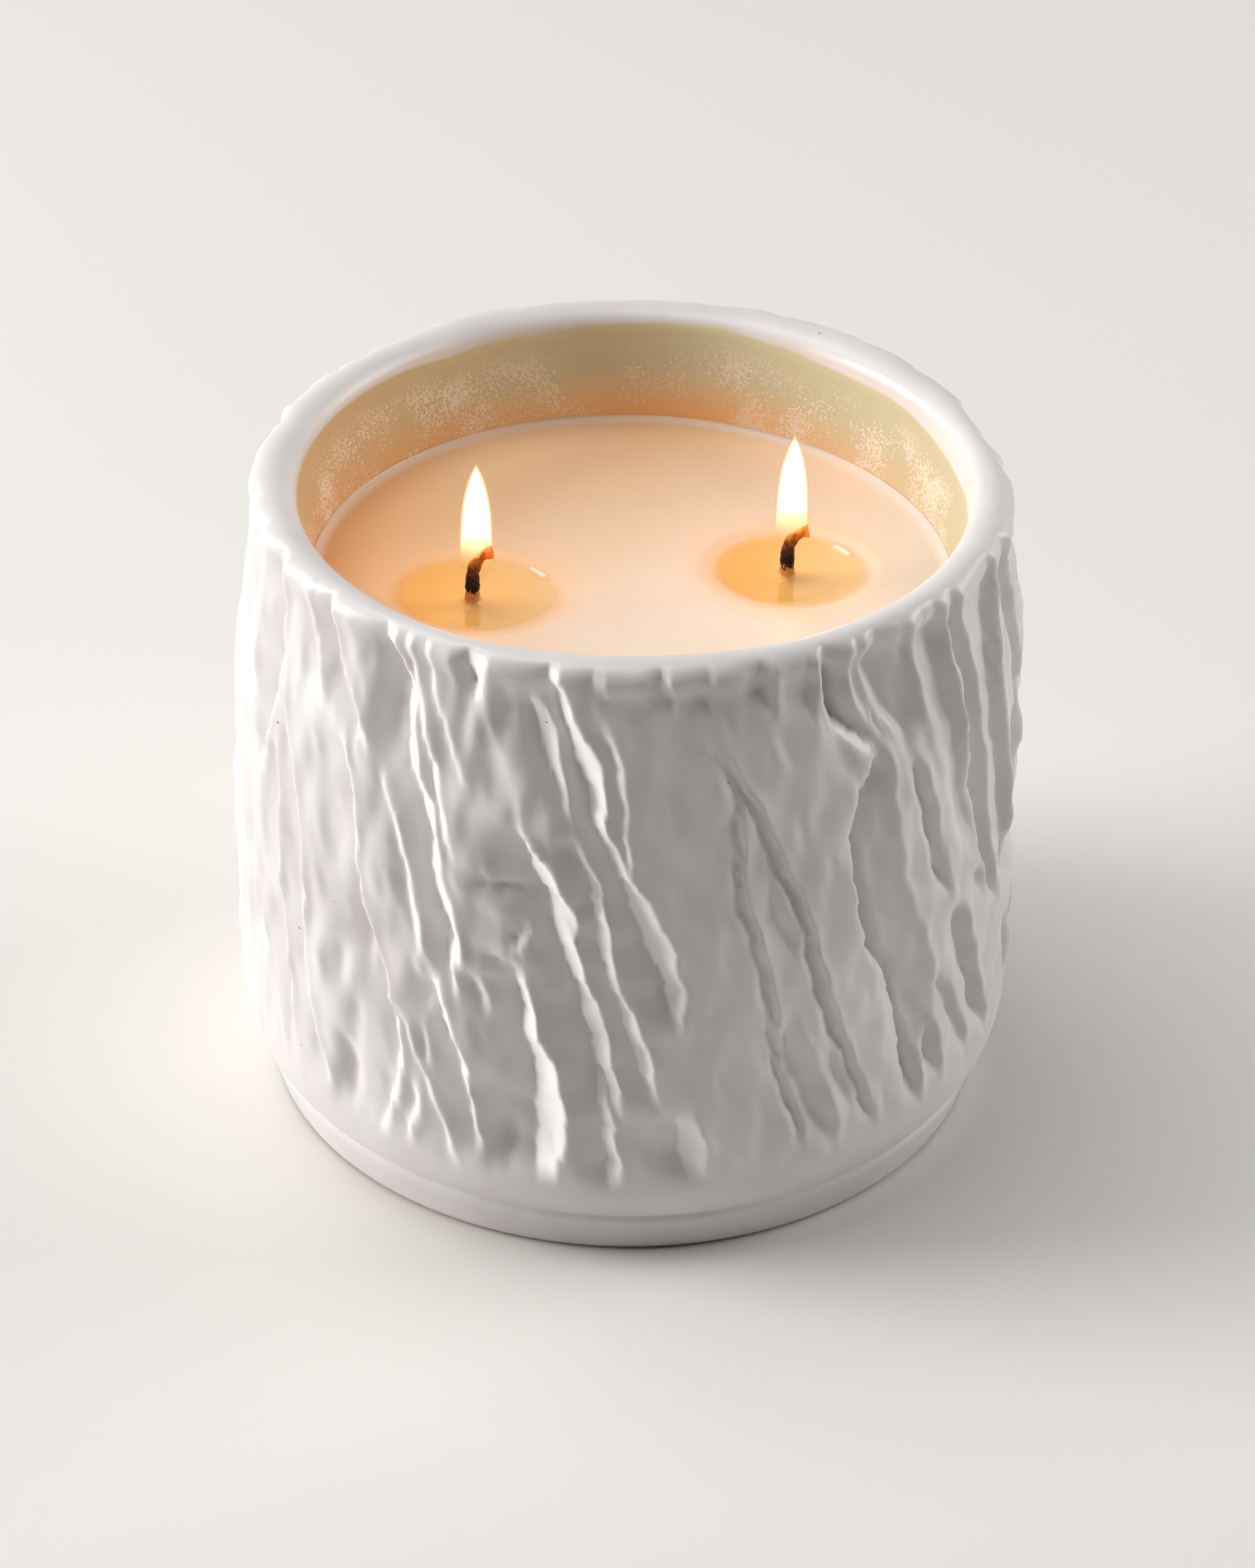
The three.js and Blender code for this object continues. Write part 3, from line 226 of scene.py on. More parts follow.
# The bark's ledges, left to right. Each is a line of points, (degrees from the front, height in steps of the
# jar's 91, width of the face in mm), then its depth, the width of the decline left of it and, if there is
# one, of the floor between, in mm. A line drawn upwards has its decline on the other side.
ledges = [
    # Far left
    [[[-93, 84, 1.6], [-90, 70, 1.8], [-86, 54, 1.2]], 1.2, 3.5],
    [[[-88, 52, 1.2], [-85, 38, 1.8], [-80, 18, 1.6]], 1.2, 3.5],
    [[[-82.9, 97, 1.4], [-79.5, 74, 1.6], [-76, 58, 1]], 1.1, 3],
    [[[-78, 58, 1.2], [-74.5, 40, 1.8], [-69, 18, 1.6]], 1.2, 3.5],
    [[[-74.7, 97, 1.4], [-72.5, 78, 1.5], [-71, 66, 1]], 1, 2.5],
    [[[-72, 64, 1], [-68.5, 46, 1.5], [-64, 28, 1.2]], 1, 3],
    [[[-65.8, 97, 2.4], [-62.5, 82, 2.4], [-63.5, 72, 2.6], [-65.5, 62, 2.4], [-67.5, 55, 1.6]], 1.3, 3],
    [[[-62, 84, 0.8], [-59.6, 75, 1], [-58.1, 68, 1], [-56.6, 64, 1.1], [-54.5, 55, 1.2], [-53.4, 47, 1.1],
      [-52.6, 38, 1.1], [-51.8, 30, 1], [-49.7, 23, 1], [-46.1, 16, 0.8]], 0.9, 3],
    [[[-61.6, 66, 0.6], [-60.4, 57, 0.9], [-59.4, 49, 0.9], [-59, 42, 0.8], [-58, 35, 0.9], [-56.2, 20, 0.7]],
      0.7, 2.5],
    [[[-57, 90, 0.8], [-53.9, 84.4, 1], [-50.4, 77.4, 1], [-47.6, 75, 0.8], [-45.6, 73.4, 0.6]], 0.6, 1.8],
    [[[-52.6, 97, 1.2], [-48.4, 84.4, 1.1], [-45.4, 80, 1], [-42.8, 77.2, 0.9], [-39.5, 71.6, 0.5]],
      1.6, 2.2],
    # Left of the front
    [[[-44.9, 74, 0.6], [-43.4, 68.3, 1.6], [-42.5, 62.7, 2.4], [-41.8, 57.2, 1.6], [-40.9, 52.2, 1.3],
      [-39.3, 47.2, 1.8], [-37.5, 42.7, 2], [-36, 38.8, 1.6], [-35.5, 34.9, 1.6], [-34.2, 29.9, 1.8],
      [-33.9, 24.9, 1.4], [-35.4, 19.4, 1.1], [-37.5, 12, 0.7]], 1.5, 7],
    [[[-35.6, 38, 0.5], [-32.7, 33.8, 0.8], [-30.6, 29.4, 0.8], [-27.9, 23.8, 0.9], [-25.8, 18.8, 0.9],
      [-22.9, 11.5, 0.8]], 1, 3],
    [[[-38.6, 72, 0.5], [-36.9, 68.3, 0.8], [-33.9, 62.2, 1], [-32.2, 54.9, 1], [-30.7, 50.5, 1.2],
      [-29.5, 46.6, 0.9], [-27.9, 43.4, 0.5]], 0.8, 2.5],
    [[[-41.7, 97, 1.4], [-36.6, 86, 1.6], [-34.2, 82.2, 2], [-33.5, 76.6, 2.4], [-32, 71.6, 2.4],
      [-30, 68.3, 2.2], [-28.6, 64.4, 2], [-27.7, 59.4, 2.2], [-27, 56, 2.6], [-25.2, 51.6, 2.2],
      [-24.1, 47.7, 1.5], [-23.2, 44, 0.6]], 1.5, 3.2],
    [[[-36.1, 97, 0.8], [-33, 84.4, 0.9], [-29.9, 77.2, 1], [-28.4, 74.4, 1.3], [-27, 68.3, 1.2],
      [-25.8, 64.9, 1], [-24.2, 60.6, 0.8]], 0.9, 1.8],
    [[[-32.6, 97, 0.6], [-29.7, 84.4, 0.8], [-28.4, 81.6, 1], [-25.4, 77, 0.6], [-22, 71.4, 0.6]], 0.8, 1.6],
    [[[-21.4, 99, 3.2], [-22.6, 89, 2.6], [-22.4, 83, 0.6]], 1.5, 1.5],
    [[[-13.6, 55.6, 1], [-16.8, 56.9, 1.8], [-19.8, 57.7, 2.4], [-22.2, 59.4, 2], [-24.4, 61.4, 1.4]],
      0.9, 3.2],
    [[[-12.8, 56, 0.6], [-14.1, 52.2, 1.2], [-15.4, 49.4, 1.2], [-15.9, 47.6, 0.8]], 0.8, 2.6],
    [[[-15.4, 45, 0.8], [-18, 46, 1.4], [-20.4, 47.7, 1.6], [-23, 49.6, 1]], 0.8, 2.6],
    [[[-21.9, 47.2, 0.5], [-21, 43.8, 1.3], [-19.6, 40.5, 1], [-18.8, 37, 0.7]], 0.7, 1.5],
    [[[-26.2, 50.4, 0.8], [-25, 46, 0.9], [-23.6, 40.4, 0.7]], 1.3, 1.4],
    [[[-27.6, 44.6, 0.8], [-27, 42.4, 1.4], [-26.6, 38.3, 1.6], [-25.3, 34, 1.8], [-23.3, 30, 1.4],
      [-22.3, 26.6, 1], [-21.9, 23.8, 0.9], [-21.1, 20, 1], [-20.1, 15.6, 1.2]], 1.3, 3],
    [[[-27, 42.6, 0.6], [-28.5, 38.8, 0.8], [-29.7, 34.4, 0.8]], 0.5, 2],
    [[[-29.7, 35, 0.5], [-29, 31.6, 0.7], [-27.4, 27, 0.6]], 0.6, 2],
    [[[-31.3, 27, 0.8], [-30.4, 23.8, 1.1], [-31, 19, 1.1], [-33, 12, 0.7]], 0.8, 2.4],
    # Front
    [[[-15.8, 70.4, 0.5], [-14.4, 66.6, 1.1], [-12.2, 62.7, 2.2], [-10.2, 59.4, 2.3], [-8.3, 54.9, 2.8],
      [-8.2, 51.6, 2.2], [-7, 48.3, 1.8], [-5.9, 46, 1.4], [-5.2, 43.3, 1.9], [-3.6, 38.8, 2.4],
      [-3, 34.9, 1.9], [-1.4, 30.5, 1.4], [0.2, 24.4, 0.5]], 1.5, 4],
    [[[-8.6, 69.4, 0.5], [-6.6, 65.5, 1], [-5, 62.7, 1.1], [-3.9, 59.4, 1.3], [-3.2, 55, 1.4],
      [-2.5, 51.6, 1.6], [-1.9, 47.7, 1.1], [-0.6, 44.4, 1.1], [0.9, 40.5, 1.5], [2.1, 37.2, 1.7],
      [3.5, 32.7, 1.5], [4.3, 29.4, 0.9], [4.8, 26, 0.5]], 1.2, 3],
    [[[-14.3, 88.2, 0.6], [-13.8, 85, 1.5], [-12.4, 81.6, 2.2], [-11, 77.7, 1.8], [-9.3, 73.8, 1],
      [-7.1, 67.8, 0.6]], 1.2, 3],
    [[[-4.1, 36, 0.6], [-3.3, 31.6, 1], [-1.8, 23.8, 1.3], [-0.7, 15.5, 1.6], [-0.3, 11.2, 1]], 1.1, 2.5],
    [[[-14.1, 97, 1], [-9.5, 85, 1.5], [-7.5, 81, 2.1], [-5.2, 77.2, 2.9], [-4.3, 72.7, 1.9],
      [-3.8, 69.4, 1.5], [-2.1, 66, 1.2], [-0.2, 62.7, 1.2], [1.3, 59.4, 2], [3.5, 55, 2.5], [4.9, 51.6, 3.2],
      [6, 48.3, 2], [7.4, 44.4, 2], [7.6, 40.5, 1], [7.5, 38, 0.5]], 1.6, 3.2],
    [[[-4.1, 84.6, 0.5], [-2.6, 81.5, 1], [-0.6, 75, 1], [-0.1, 67, 0.5], [1.2, 61, 0.4]], 0.8, 2],
    [[[-9, 99, 1.6], [-4.6, 89, 1.3], [-2.2, 85.4, 0.5]], 1.5, 1.6],
    [[[1, 99, 1.6], [5.2, 89, 1.2], [7.6, 83.6, 0.5]], 1.5, 1.8],
    [[[10.6, 99, 0.8], [12.2, 89, 0.8], [11.4, 83, 0.5]], 0.9, 2.6],
    [[[18.6, 99, 1.8], [20.3, 89, 1.6], [21.6, 82.6, 0.6]], 1.4, 2.8],
    [[[28.4, 99, 1], [27.6, 88, 1], [27.8, 80, 0.5]], 0.8, 3],
    [[[-15.9, 48.6, 0.6], [-14.6, 45, 1.4], [-13.5, 41.6, 1.9], [-13.3, 37.7, 1.9], [-12.3, 34.9, 2.6],
      [-10.8, 31.6, 2.8], [-10.5, 27.7, 3.3], [-10, 23.8, 4], [-10.1, 19.4, 3.4], [-10.8, 15.5, 2.4],
      [-10.5, 11.6, 1.4]], 1.6, 4.5],
    [[[8.6, 27.4, 1], [9.6, 23.8, 2.4], [10.3, 19.4, 3], [10.9, 15, 2.4], [11, 12, 1.4]], 0.9, 3],
    [[[9.5, 37.3, 0.5], [15, 36, 0.7], [20.6, 35, 0.6]], 0.35, 2],
    # Right of the front
    [[[10, 81.2, 0.4], [12.6, 79.4, 0.6], [14.4, 78.3, 0.5]], 0.4, 1],
    [[[15.5, 76, 0.4], [16.1, 64.8, 0.5], [16.2, 59.4, 0.5], [17.8, 54.8, 0.7], [19.4, 49.7, 0.6],
      [21.2, 42.9, 0.7], [21.6, 39, 0.5], [22.2, 34.2, 0.6], [23, 29.3, 0.5], [25.8, 23.3, 0.9],
      [27.4, 16, 0.5]], 1, 0.8],
    [[[12.1, 80, 0.4], [15, 77.2, 0.6], [17, 73.3, 0.6], [19.4, 69.6, 0.5], [21.3, 63.9, 0.6],
      [23.9, 58.5, 0.7], [26.5, 53, 0.6], [27.7, 47.6, 0.9], [29.6, 40.7, 0.8], [31.6, 34.9, 0.7],
      [35.2, 26.9, 0.6], [39.8, 16, 0.5]], 1.3, 0.9],
    [[[20.8, 64, 0.5], [21.4, 58, 1.4], [23.8, 52, 1.8], [26.4, 46, 0.8]], 0.5, 1.5],
    [[[24, 40, 0.8], [25.6, 33, 2.2], [28.6, 26, 2.8], [31, 20, 2], [32.4, 15, 0.8]], 0.6, 1.8],
    [[[30.4, 34, 0.6], [33.4, 26, 1.6], [37, 19, 1]], 0.7, 1.4],
    [[[32, 99, 3], [32.4, 88, 3.4], [33.6, 81, 3], [37.2, 77, 2.2], [41.4, 73, 1]], 1.4, 0.9],
    [[[36.2, 99, 1], [35.9, 83.4, 1.2], [39, 78.2, 1.2], [42.9, 73.3, 0.8]], 1, 0.6],
    [[[39.6, 76, 0.6], [37.6, 67, 4.6], [38.2, 60, 5.6], [39.4, 53, 5.7], [41.2, 46.6, 6], [45.2, 39.6, 5.2],
      [47.9, 31.7, 4.6], [47.4, 25, 2.6], [46.6, 18, 1]], 1.4, 0.6],
    [[[34.2, 66, 0.6], [34.6, 60, 1.6], [36, 53, 1.8], [38.4, 46, 1.4], [42, 40, 0.8]], 0.7, 0.4],
    [[[42.8, 97, 5], [42.4, 85, 5.4], [44, 80, 4.6], [45.4, 76, 3], [45.6, 73.4, 1.4]], 1.5, 2.4],
    [[[44.2, 73, 0.8], [46.9, 67.2, 1], [48.3, 62.7, 1], [50.1, 54.4, 1], [53.6, 46, 0.7]], 1.1, 1.1],
    [[[50.6, 58, 0.5], [51.8, 52, 0.7], [53.6, 47.8, 0.6]], 0.6, 0.9],
    [[[43, 39.6, 0.8], [43.6, 35, 1], [44.8, 30.5, 1], [46.9, 22.7, 1], [49.4, 14.6, 0.8]], 1.2, 1.9],
    [[[50, 31, 0.6], [50.6, 27, 1.2], [52.4, 21, 1.2], [54, 16, 0.8]], 0.9, 2],
    [[[49.3, 97, 0.7], [50, 82, 0.8], [50.4, 75, 0.5]], 0.5, 1.4],
    # Far right
    [[[52.5, 97, 1.5], [53.6, 84, 1.6], [53.9, 79, 1.5], [54.9, 74.4, 1.4], [57.4, 65.5, 1.2],
      [58, 60.5, 1.2], [61, 51.6, 0.8]], 1.2, 2, 1.6],
    [[[55.3, 97, 1], [57.6, 84.4, 1.2], [59.4, 80, 1.6], [60.6, 71, 2.2], [61.8, 60.5, 2.4], [63, 56, 2],
      [64.4, 51, 1.6], [68.6, 41, 1], [71, 36, 0.8]], 1.4, 1.3],
    [[[54.6, 46, 0.8], [56.6, 43.2, 1.2], [59.4, 36, 1.4], [61.2, 32.2, 1.2], [65.6, 22.7, 1],
      [69.6, 16, 0.6]], 1.3, 2.4],
    [[[49.6, 37, 0.5], [53.8, 31.6, 0.8], [56.8, 26.6, 0.8], [62.6, 16, 0.6]], 0.9, 2.2],
    [[[60.6, 48.4, 0.6], [62.6, 45, 1], [64.4, 41.4, 0.8]], 0.9, 1.8],
    [[[69.3, 97, 0.9], [68.5, 79.4, 1], [68.9, 72, 1], [70.8, 59.4, 1], [73.8, 48.3, 0.9], [79, 35, 0.6]],
      1.5, 5.5],
    [[[72.6, 97, 1.2], [78, 80, 1.4], [80, 72, 1.2], [82, 62, 1]], 1.2, 3],
    [[[86, 66, 1.6], [88, 50, 1.8], [90, 34, 1.4]], 1.7, 2, 8],
    [[[76, 33, 0.8], [79, 26, 1.2], [84, 15, 1]], 1, 2.4],
    [[[86, 31, 1], [89, 22, 1.4], [92, 14, 1]], 1, 3],
]
# Dents between them: degrees, height in steps, half width, half height and depth in mm.
dents = [
    [-50.8, 43.5, 1.6, 3.5, 0.4], [-48.8, 62, 1.4, 4.5, 0.4], [-46.4, 56, 1.6, 4, 0.4],
    [-45.2, 37.5, 1.5, 3.5, 0.8], [-43.7, 22, 1.6, 4.6, 1.4], [-42.6, 31, 1.4, 3, 0.5],
    [-40.6, 44.5, 1.2, 3.5, 0.7], [-37.4, 76.5, 1.8, 5, 1.3], [-37, 83, 1.4, 4, 0.5], [-24, 82, 1.2, 4, 0.5],
    [-20.5, 52, 3, 2.8, 0.6], [-20, 78, 2.2, 5, 0.8], [-18, 84, 1.4, 3, 0.4], [-17.2, 20, 2, 4.6, 1.5],
    [-17, 74, 2.2, 3, 0.3], [4, 21, 2, 4, 0.4], [20.4, 35, 1.4, 2, 0.5], [30.6, 86, 1, 3, 0.6],
    [31.4, 79, 1.3, 3.5, 0.6], [32.8, 75, 1.2, 2, 0.5], [33.4, 63.5, 1, 3, 0.5], [33.5, 26, 1.4, 2.6, 0.4],
    [38.2, 19, 1.6, 1.8, 0.6], [42.6, 38, 2, 3, 0.5], [43, 74, 1.2, 1.4, 0.6], [47, 33, 1.8, 2.5, 0.4],
    [47.4, 73, 1.2, 2, 0.5], [51, 20, 1.4, 4, 0.5], [56.5, 60, 1.6, 5, 0.4], [64, 90, 2.6, 2, 0.8],
]
# How far the lip's outer and inner edges stand out of round: degrees from the front, mm outwards.
lipEdge = [
    [-176, 0.3], [-162, 0.2], [-156, 1.1], [-149, 1], [-138, 0.1], [-125, 0.1], [-110, 0.8], [-105, -0.4],
    [-99, 0.4], [-92, 0.5], [-66, 0.3], [-52, -0.4], [-24, -0.6], [4, -0.8], [34, -0.8], [62, -0.4],
    [74, 0.2], [92, -0.1], [105, -1], [110, -1.2], [114, 0], [129, 0.3], [135, 0.85], [144, 1.4], [153, 1],
    [159.5, 1.6], [164, 0.8],
]
mouthEdge = [
    [-150, 0.6], [-100, 0.2], [-60, 0.6], [-30, 1], [-19, 0.5], [-12, -0.1], [5, -0.8], [22, -0.4],
    [40, -0.1], [70, 0.1], [95, 0.5], [150, 0.7],
]
lipTop = jar["height"] - jar["lipRounding"]
floorLevel = jar["footRecess"] + jar["floorThickness"]


def ledgeCut(ledge, turn, arc, height):
    # Across the line: a straight face up to the crest on its right, a floor, a concave decline on its left.
    # A ledge is cut deeper where its face is drawn wider. The line is softened by averaging it a little.
    line, depth, decline = ledge[:3]
    floor = sum(ledge[3:])
    perDegree = math.radians(jar["bellyRadius"])
    points = np.array(line) * [perDegree, jar["height"] / jar["drawnHeight"], 1]
    drawnDown = points[0, 1] > points[-1, 1]
    points = points[::-1] if drawnDown else points
    low, top = points[0, 1], points[-1, 1]
    if height <= low or height >= top:
        return np.zeros((3, len(arc)))
    nearby = np.interp(height + jar["soften"] * np.array([-1, 0, 1]), points[:, 1], points[:, 0])
    face = np.interp(height, points[:, 1], points[:, 2]) * jar["faceStretch"]
    across = math.cos(math.atan2(nearby[2] - nearby[0], 2 * jar["soften"]))
    girth = 2 * np.pi * jar["bellyRadius"]
    away = arc - nearby @ [0.25, 0.5, 0.25] - girth * turn / 360
    aside = (away - girth * np.round(away / girth)) * across * (1 if drawnDown else -1)
    decline *= jar["declineStretch"]
    onFace = np.clip(0.5 - aside / face, 0, 1)
    onDecline = np.clip(1 + (aside + face / 2 + floor) / decline, 0, 1) ** jar["declinePower"]
    reach = min(jar["ledgeFade"], (top - low) / 2)
    fade = smoothRise(height, low, low + reach) * smoothRise(top - height, 0, reach)
    cut = fade * min(depth * (jar["cutShare"] + jar["cutByFace"] * face), jar["deepestCut"])
    brow = jar["brow"] * fade * np.exp(-((aside - face / 2) / jar["browWidth"]) ** 2)
    # painted highlight: white on wide faces drawn downwards, which look left towards the key light, fading
    # out right of the front
    highlightShare = fade * smoothRise(face, *jar["highlightWidths"]) * drawnDown
    highlightShare = highlightShare * np.clip(1.6 - 1.6 * (2 * aside / face) ** 2, 0, 1)
    highlightShare = highlightShare * (1 - smoothRise(nearby[1] / perDegree, *jar["highlightEnd"]))
    return cut * np.minimum(onFace, onDecline), brow, highlightShare


def barkRelief(angle, height):
    # The sum of the ledges, on lines that tremble a little, with a low brow along each crest, and the
    # dents, swell and ripple of the plates added. It fades at the heel, and mostly at the lip. The other
    # values are the painted highlight on wide faces, and the painted shade by how deep in a hollow a point
    # lies.
    arc = jar["bellyRadius"] * angle
    arc = arc + jar["tremble"] * (np.sin(1.1 * height + 0.35 * arc) + 0.6 * np.sin(2.3 * height - 0.6 * arc))
    total, proudest, paintedHighlight = np.zeros((3, len(angle)))
    for ledge in ledges:
        for turn in (0, 180):
            cut, brow, highlightShare = ledgeCut(ledge, turn, arc, height)
            total = total + cut
            proudest = np.maximum(proudest, brow)
            paintedHighlight = np.maximum(paintedHighlight, highlightShare)
    # sums near the deepest level off there
    cutIn = (np.maximum(total, 0.001) ** -4 + jar["deepestSum"] ** -4) ** -0.25 - proudest
    for degrees, step, halfWidth, halfHeight, depth in dents:
        up = (height - step * jar["height"] / jar["drawnHeight"]) / halfHeight
        for turn in (0, 180):
            aside = np.angle(np.exp(1j * (angle - math.radians(degrees + turn))))
            aside = aside * jar["bellyRadius"] / halfWidth
            cutIn = cutIn + depth * np.exp(-aside ** 2 - up ** 2)
    # waves that wind round the jar, the finer ones bent by the coarser
    wave = np.sin(14 * angle + 0.11 * height) * np.sin(0.13 * height - 4 * angle)
    ripple = np.sin(40 * angle + 0.22 * height + np.sin(0.25 * height)) * np.sin(0.5 * height - 11 * angle)
    finer = np.sin(63 * angle + 0.34 * height + 2 * ripple) * np.sin(0.3 * height - 7 * angle + 1)
    ripple = ripple + 0.6 * finer
    fromHeel = smoothRise(height, jar["carvedFrom"], jar["carvedFrom"] + jar["carveFadeBelow"])
    toLip = 1 - (1 - jar["lipCarving"]) * smoothRise(height, lipTop - jar["carveFadeAbove"], lipTop)
    depth = cutIn + jar["plateSwell"] * (1 + wave) + jar["plateRipple"] * ripple
    # the share of painted shade, by how deep in a hollow a point lies
    hollowShade = np.clip(cutIn / jar["deepestSum"], 0, 1)
    return depth * fromHeel * toLip, paintedHighlight * fromHeel * toLip, hollowShade * fromHeel * toLip


def wallRadius(height):
    # power curves from the belly up to the lip and down to the crease
    rise = np.clip((height - jar["bellyHeight"]) / (lipTop - jar["bellyHeight"]), 0, 1)
    drop = np.clip((jar["bellyHeight"] - height) / (jar["bellyHeight"] - jar["footBandHeight"]), 0, 1)
    above = (jar["bellyRadius"] - jar["shoulderRadius"]) * rise ** jar["shoulderRoundness"]
    below = (jar["bellyRadius"] - jar["creaseRadius"]) * drop ** jar["heelRoundness"]
    return jar["bellyRadius"] - above - below


def edgeOffset(edge, angle):
    # straight from point to point round the ring, then softened by averaging over 6 degrees
    degrees = np.degrees(angle)
    places, offsets = np.array(edge).T
    return sum(np.interp(degrees + step, places, offsets, period=360) for step in (-3, -1.5, 0, 1.5, 3)) / 5


def lipReachShare(height):
    return smoothRise(height, lipTop - jar["lipReach"], lipTop)


def lipHollow(angle, height):
    # the hand-smoothed lip overhangs the wall a little, most of all at the front
    under = lipTop - height
    deepest, end = jar["lipHollowReach"]
    share = smoothRise(under, 0, deepest) * (1 - smoothRise(under, deepest, end))
    atFront = 0.35 + 0.65 * (0.5 + 0.5 * np.cos(angle - 0.4))
    return jar["lipHollow"] * share * atFront * (1 + 0.35 * np.sin(9 * angle + 1))


def cavitySide(height):
    # a slight draft, then a flare over the wax
    draft = jar["cavityDraft"] * (height - floorLevel) / (lipTop - floorLevel)
    return jar["cavityRadius"] + draft + jar["mouthFlare"] * smoothRise(height, wax["level"] + 1, lipTop)


def cavityOutline(top, steps):
    # from the rim down the side and round the fillet: radii and heights
    bendHeight = floorLevel + jar["cavityFillet"]
    side = np.linspace(top, bendHeight, steps)
    sweep = np.linspace(0, np.pi / 2, 9)[1:]
    middle = cavitySide(bendHeight) - jar["cavityFillet"]
    radii = np.concatenate([cavitySide(side), middle + jar["cavityFillet"] * np.cos(sweep)])
    heights = np.concatenate([side, bendHeight - jar["cavityFillet"] * np.sin(sweep)])
    return radii, heights


def makeJar(material):
    # Rings from the middle of the foot out, up the wall, over the lip and down the cavity. They have fewer
    # points below the carving and inside, and on the wall they turn with the grain.
    plain = evenAngles(jar["plainColumns"])
    fine = evenAngles(jar["columns"])
    leanAt = lambda height: math.radians(jar["grainLean"] * (lipTop - max(height, jar["carvedFrom"])))
    foot, recess, crease = jar["footRadius"], jar["footRadius"] - jar["footRingWidth"], jar["creaseRadius"]
    floor, band, bulge = jar["footRecess"], jar["footBandHeight"], jar["footBandRadius"]
    profile = [  # radii and heights of the recess, the ring it stands on, the foot's side, band and crease
        (recess - 8, floor), (recess - 1.6, floor), (recess - 0.9, 1.7), (recess - 0.35, 0.35),
        (recess, 0.02), (recess + 0.5, 0), (foot - 1.4, 0), (foot - 0.75, 0.08), (foot - 0.3, 0.35),
        (foot, 0.9), (foot + 0.3, 1.9), (foot + 0.85, 3.8), (bulge - 0.1, band - 1.4), (bulge, band - 0.9),
        (bulge - 0.1, band - 0.5), (crease + 0.02, band - 0.15), (crease, band),
    ]
    for height in np.linspace(band + 0.3, jar["carvedFrom"] - 0.4, 12):
        profile.append((wallRadius(height), height))
    rings = [np.array([[0, 0, floor]])]
    rings += [ringAt(plain + leanAt(0), radius, height) for radius, height in profile]
    paintedHighlight = [np.zeros(len(ring)) for ring in rings]
    hollowShades = list(paintedHighlight)
    for height in np.linspace(jar["carvedFrom"], lipTop, jar["rows"]):
        angle = fine + leanAt(height)
        depth, face, hollowShade = barkRelief(angle, height)
        edge = lipReachShare(height) * edgeOffset(lipEdge, angle)
        rings.append(ringAt(angle, wallRadius(height) + edge - lipHollow(angle, height) - depth, height))
        paintedHighlight.append(face)
        hollowShades.append(hollowShade)
    for step, sweep in enumerate(np.linspace(0, np.pi, jar["lipRows"] + 2)[1:-1]):
        angle = fine if step < 5 else plain
        outer = jar["shoulderRadius"] + edgeOffset(lipEdge, angle)
        inner = jar["shoulderRadius"] - jar["lipWidth"] + edgeOffset(mouthEdge, angle)
        depth, face, hollowShade = barkRelief(angle, lipTop)
        fall = max(0.0, math.cos(sweep)) ** 2
        radius = (outer + inner) / 2 + (outer - inner) / 2 * math.cos(sweep) - fall * depth
        rings.append(ringAt(angle, radius, lipTop + jar["lipRounding"] * math.sin(sweep)))
        paintedHighlight.append(fall * face)
        hollowShades.append(fall * hollowShade)
    for side, height in zip(*cavityOutline(lipTop, jar["sideRows"])):
        rings.append(ringAt(plain, side + lipReachShare(height) * edgeOffset(mouthEdge, plain), height))
    rings.append(np.array([[0, 0, floorLevel]]))
    # the painted highlight and the painted shade go to the glaze as attributes
    rest = [np.zeros(len(ring)) for ring in rings[len(paintedHighlight):]]
    return pieceFromRings("bark_jar", rings, material,
                          attributes={"face": paintedHighlight + rest, "hollowShade": hollowShades + rest})


# The wax and its melted pools. Each pool is an ellipse round its own middle, and the wick stands in it. Mm.
wax = {
    "level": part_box("melt_pool_left")[1].z / mm + 0.4,
    "gap": 0.03,  # to the jar's wall
    "creep": 0.7,
    "creepWidth": 2.2,
    "swell": 0.05,
    "poolDrop": 0.4,
    "poolDepth": 3.6,
    "poolHalfLength": 8.8,
    "shore": 0.22,  # share of the pool's half width over which the wax slopes down to it
    "wetting": 1.12,  # share at which the wet film ends
    "meniscus": 0.1,
    "wickHole": 0.85,  # radius
    "wickMeniscus": (0.9, 0.45),  # height and width
    "glintBead": (1.8, 0.55, 0.3),  # of the bead under the painted highlight: half length, half width and height
    "poolColumns": 240,
    "poolRings": 80,
    "columns": 480,
    "rings": 96,
}
poolLevel = wax["level"] - wax["poolDrop"]
spots = {
    "left": {"wick": (-19.9, -6.7), "stand": 7.6, "pool": (-19.6, -4.5), "poolHalfWidth": 10.4,
             "flame": 19.4, "glintBead": (-11.9, 0.9)},
    "right": {"wick": (19.6, 1.3), "stand": 6.9, "pool": (20.0, 3.0), "poolHalfWidth": 9.8,
              "flame": 19.9, "glintBead": (26.9, 8.0)},
}


def poolShare(spot, x, y):
    # 0 at the pool's middle and 1 on its edge
    across = (x - spot["pool"][0]) / spot["poolHalfWidth"]
    deep = (y - spot["pool"][1]) / wax["poolHalfLength"]
    return np.sqrt(across ** 2 + deep ** 2)


def waxHeight(x, y):
    # Firm wax: flat with a slow swell, creeping up the jar's wall, dished into a bowl under each pool.
    fromWall = cavitySide(wax["level"]) - np.hypot(x, y)
    height = wax["level"] + wax["creep"] * np.clip(1 - fromWall / wax["creepWidth"], 0, 1) ** 3
    height = height + wax["swell"] * np.sin(x * 0.21 + 0.4) * np.sin(y * 0.17 + 1.1)
    for spot in spots.values():
        share = poolShare(spot, x, y)
        shore = smoothRise(1 + wax["shore"] - share, 0, wax["shore"])
        bowl = wax["poolDepth"] * np.clip(1 - share ** 2, 0, 1) ** 2
        height = height + shore * (poolLevel - height) - bowl
    return height


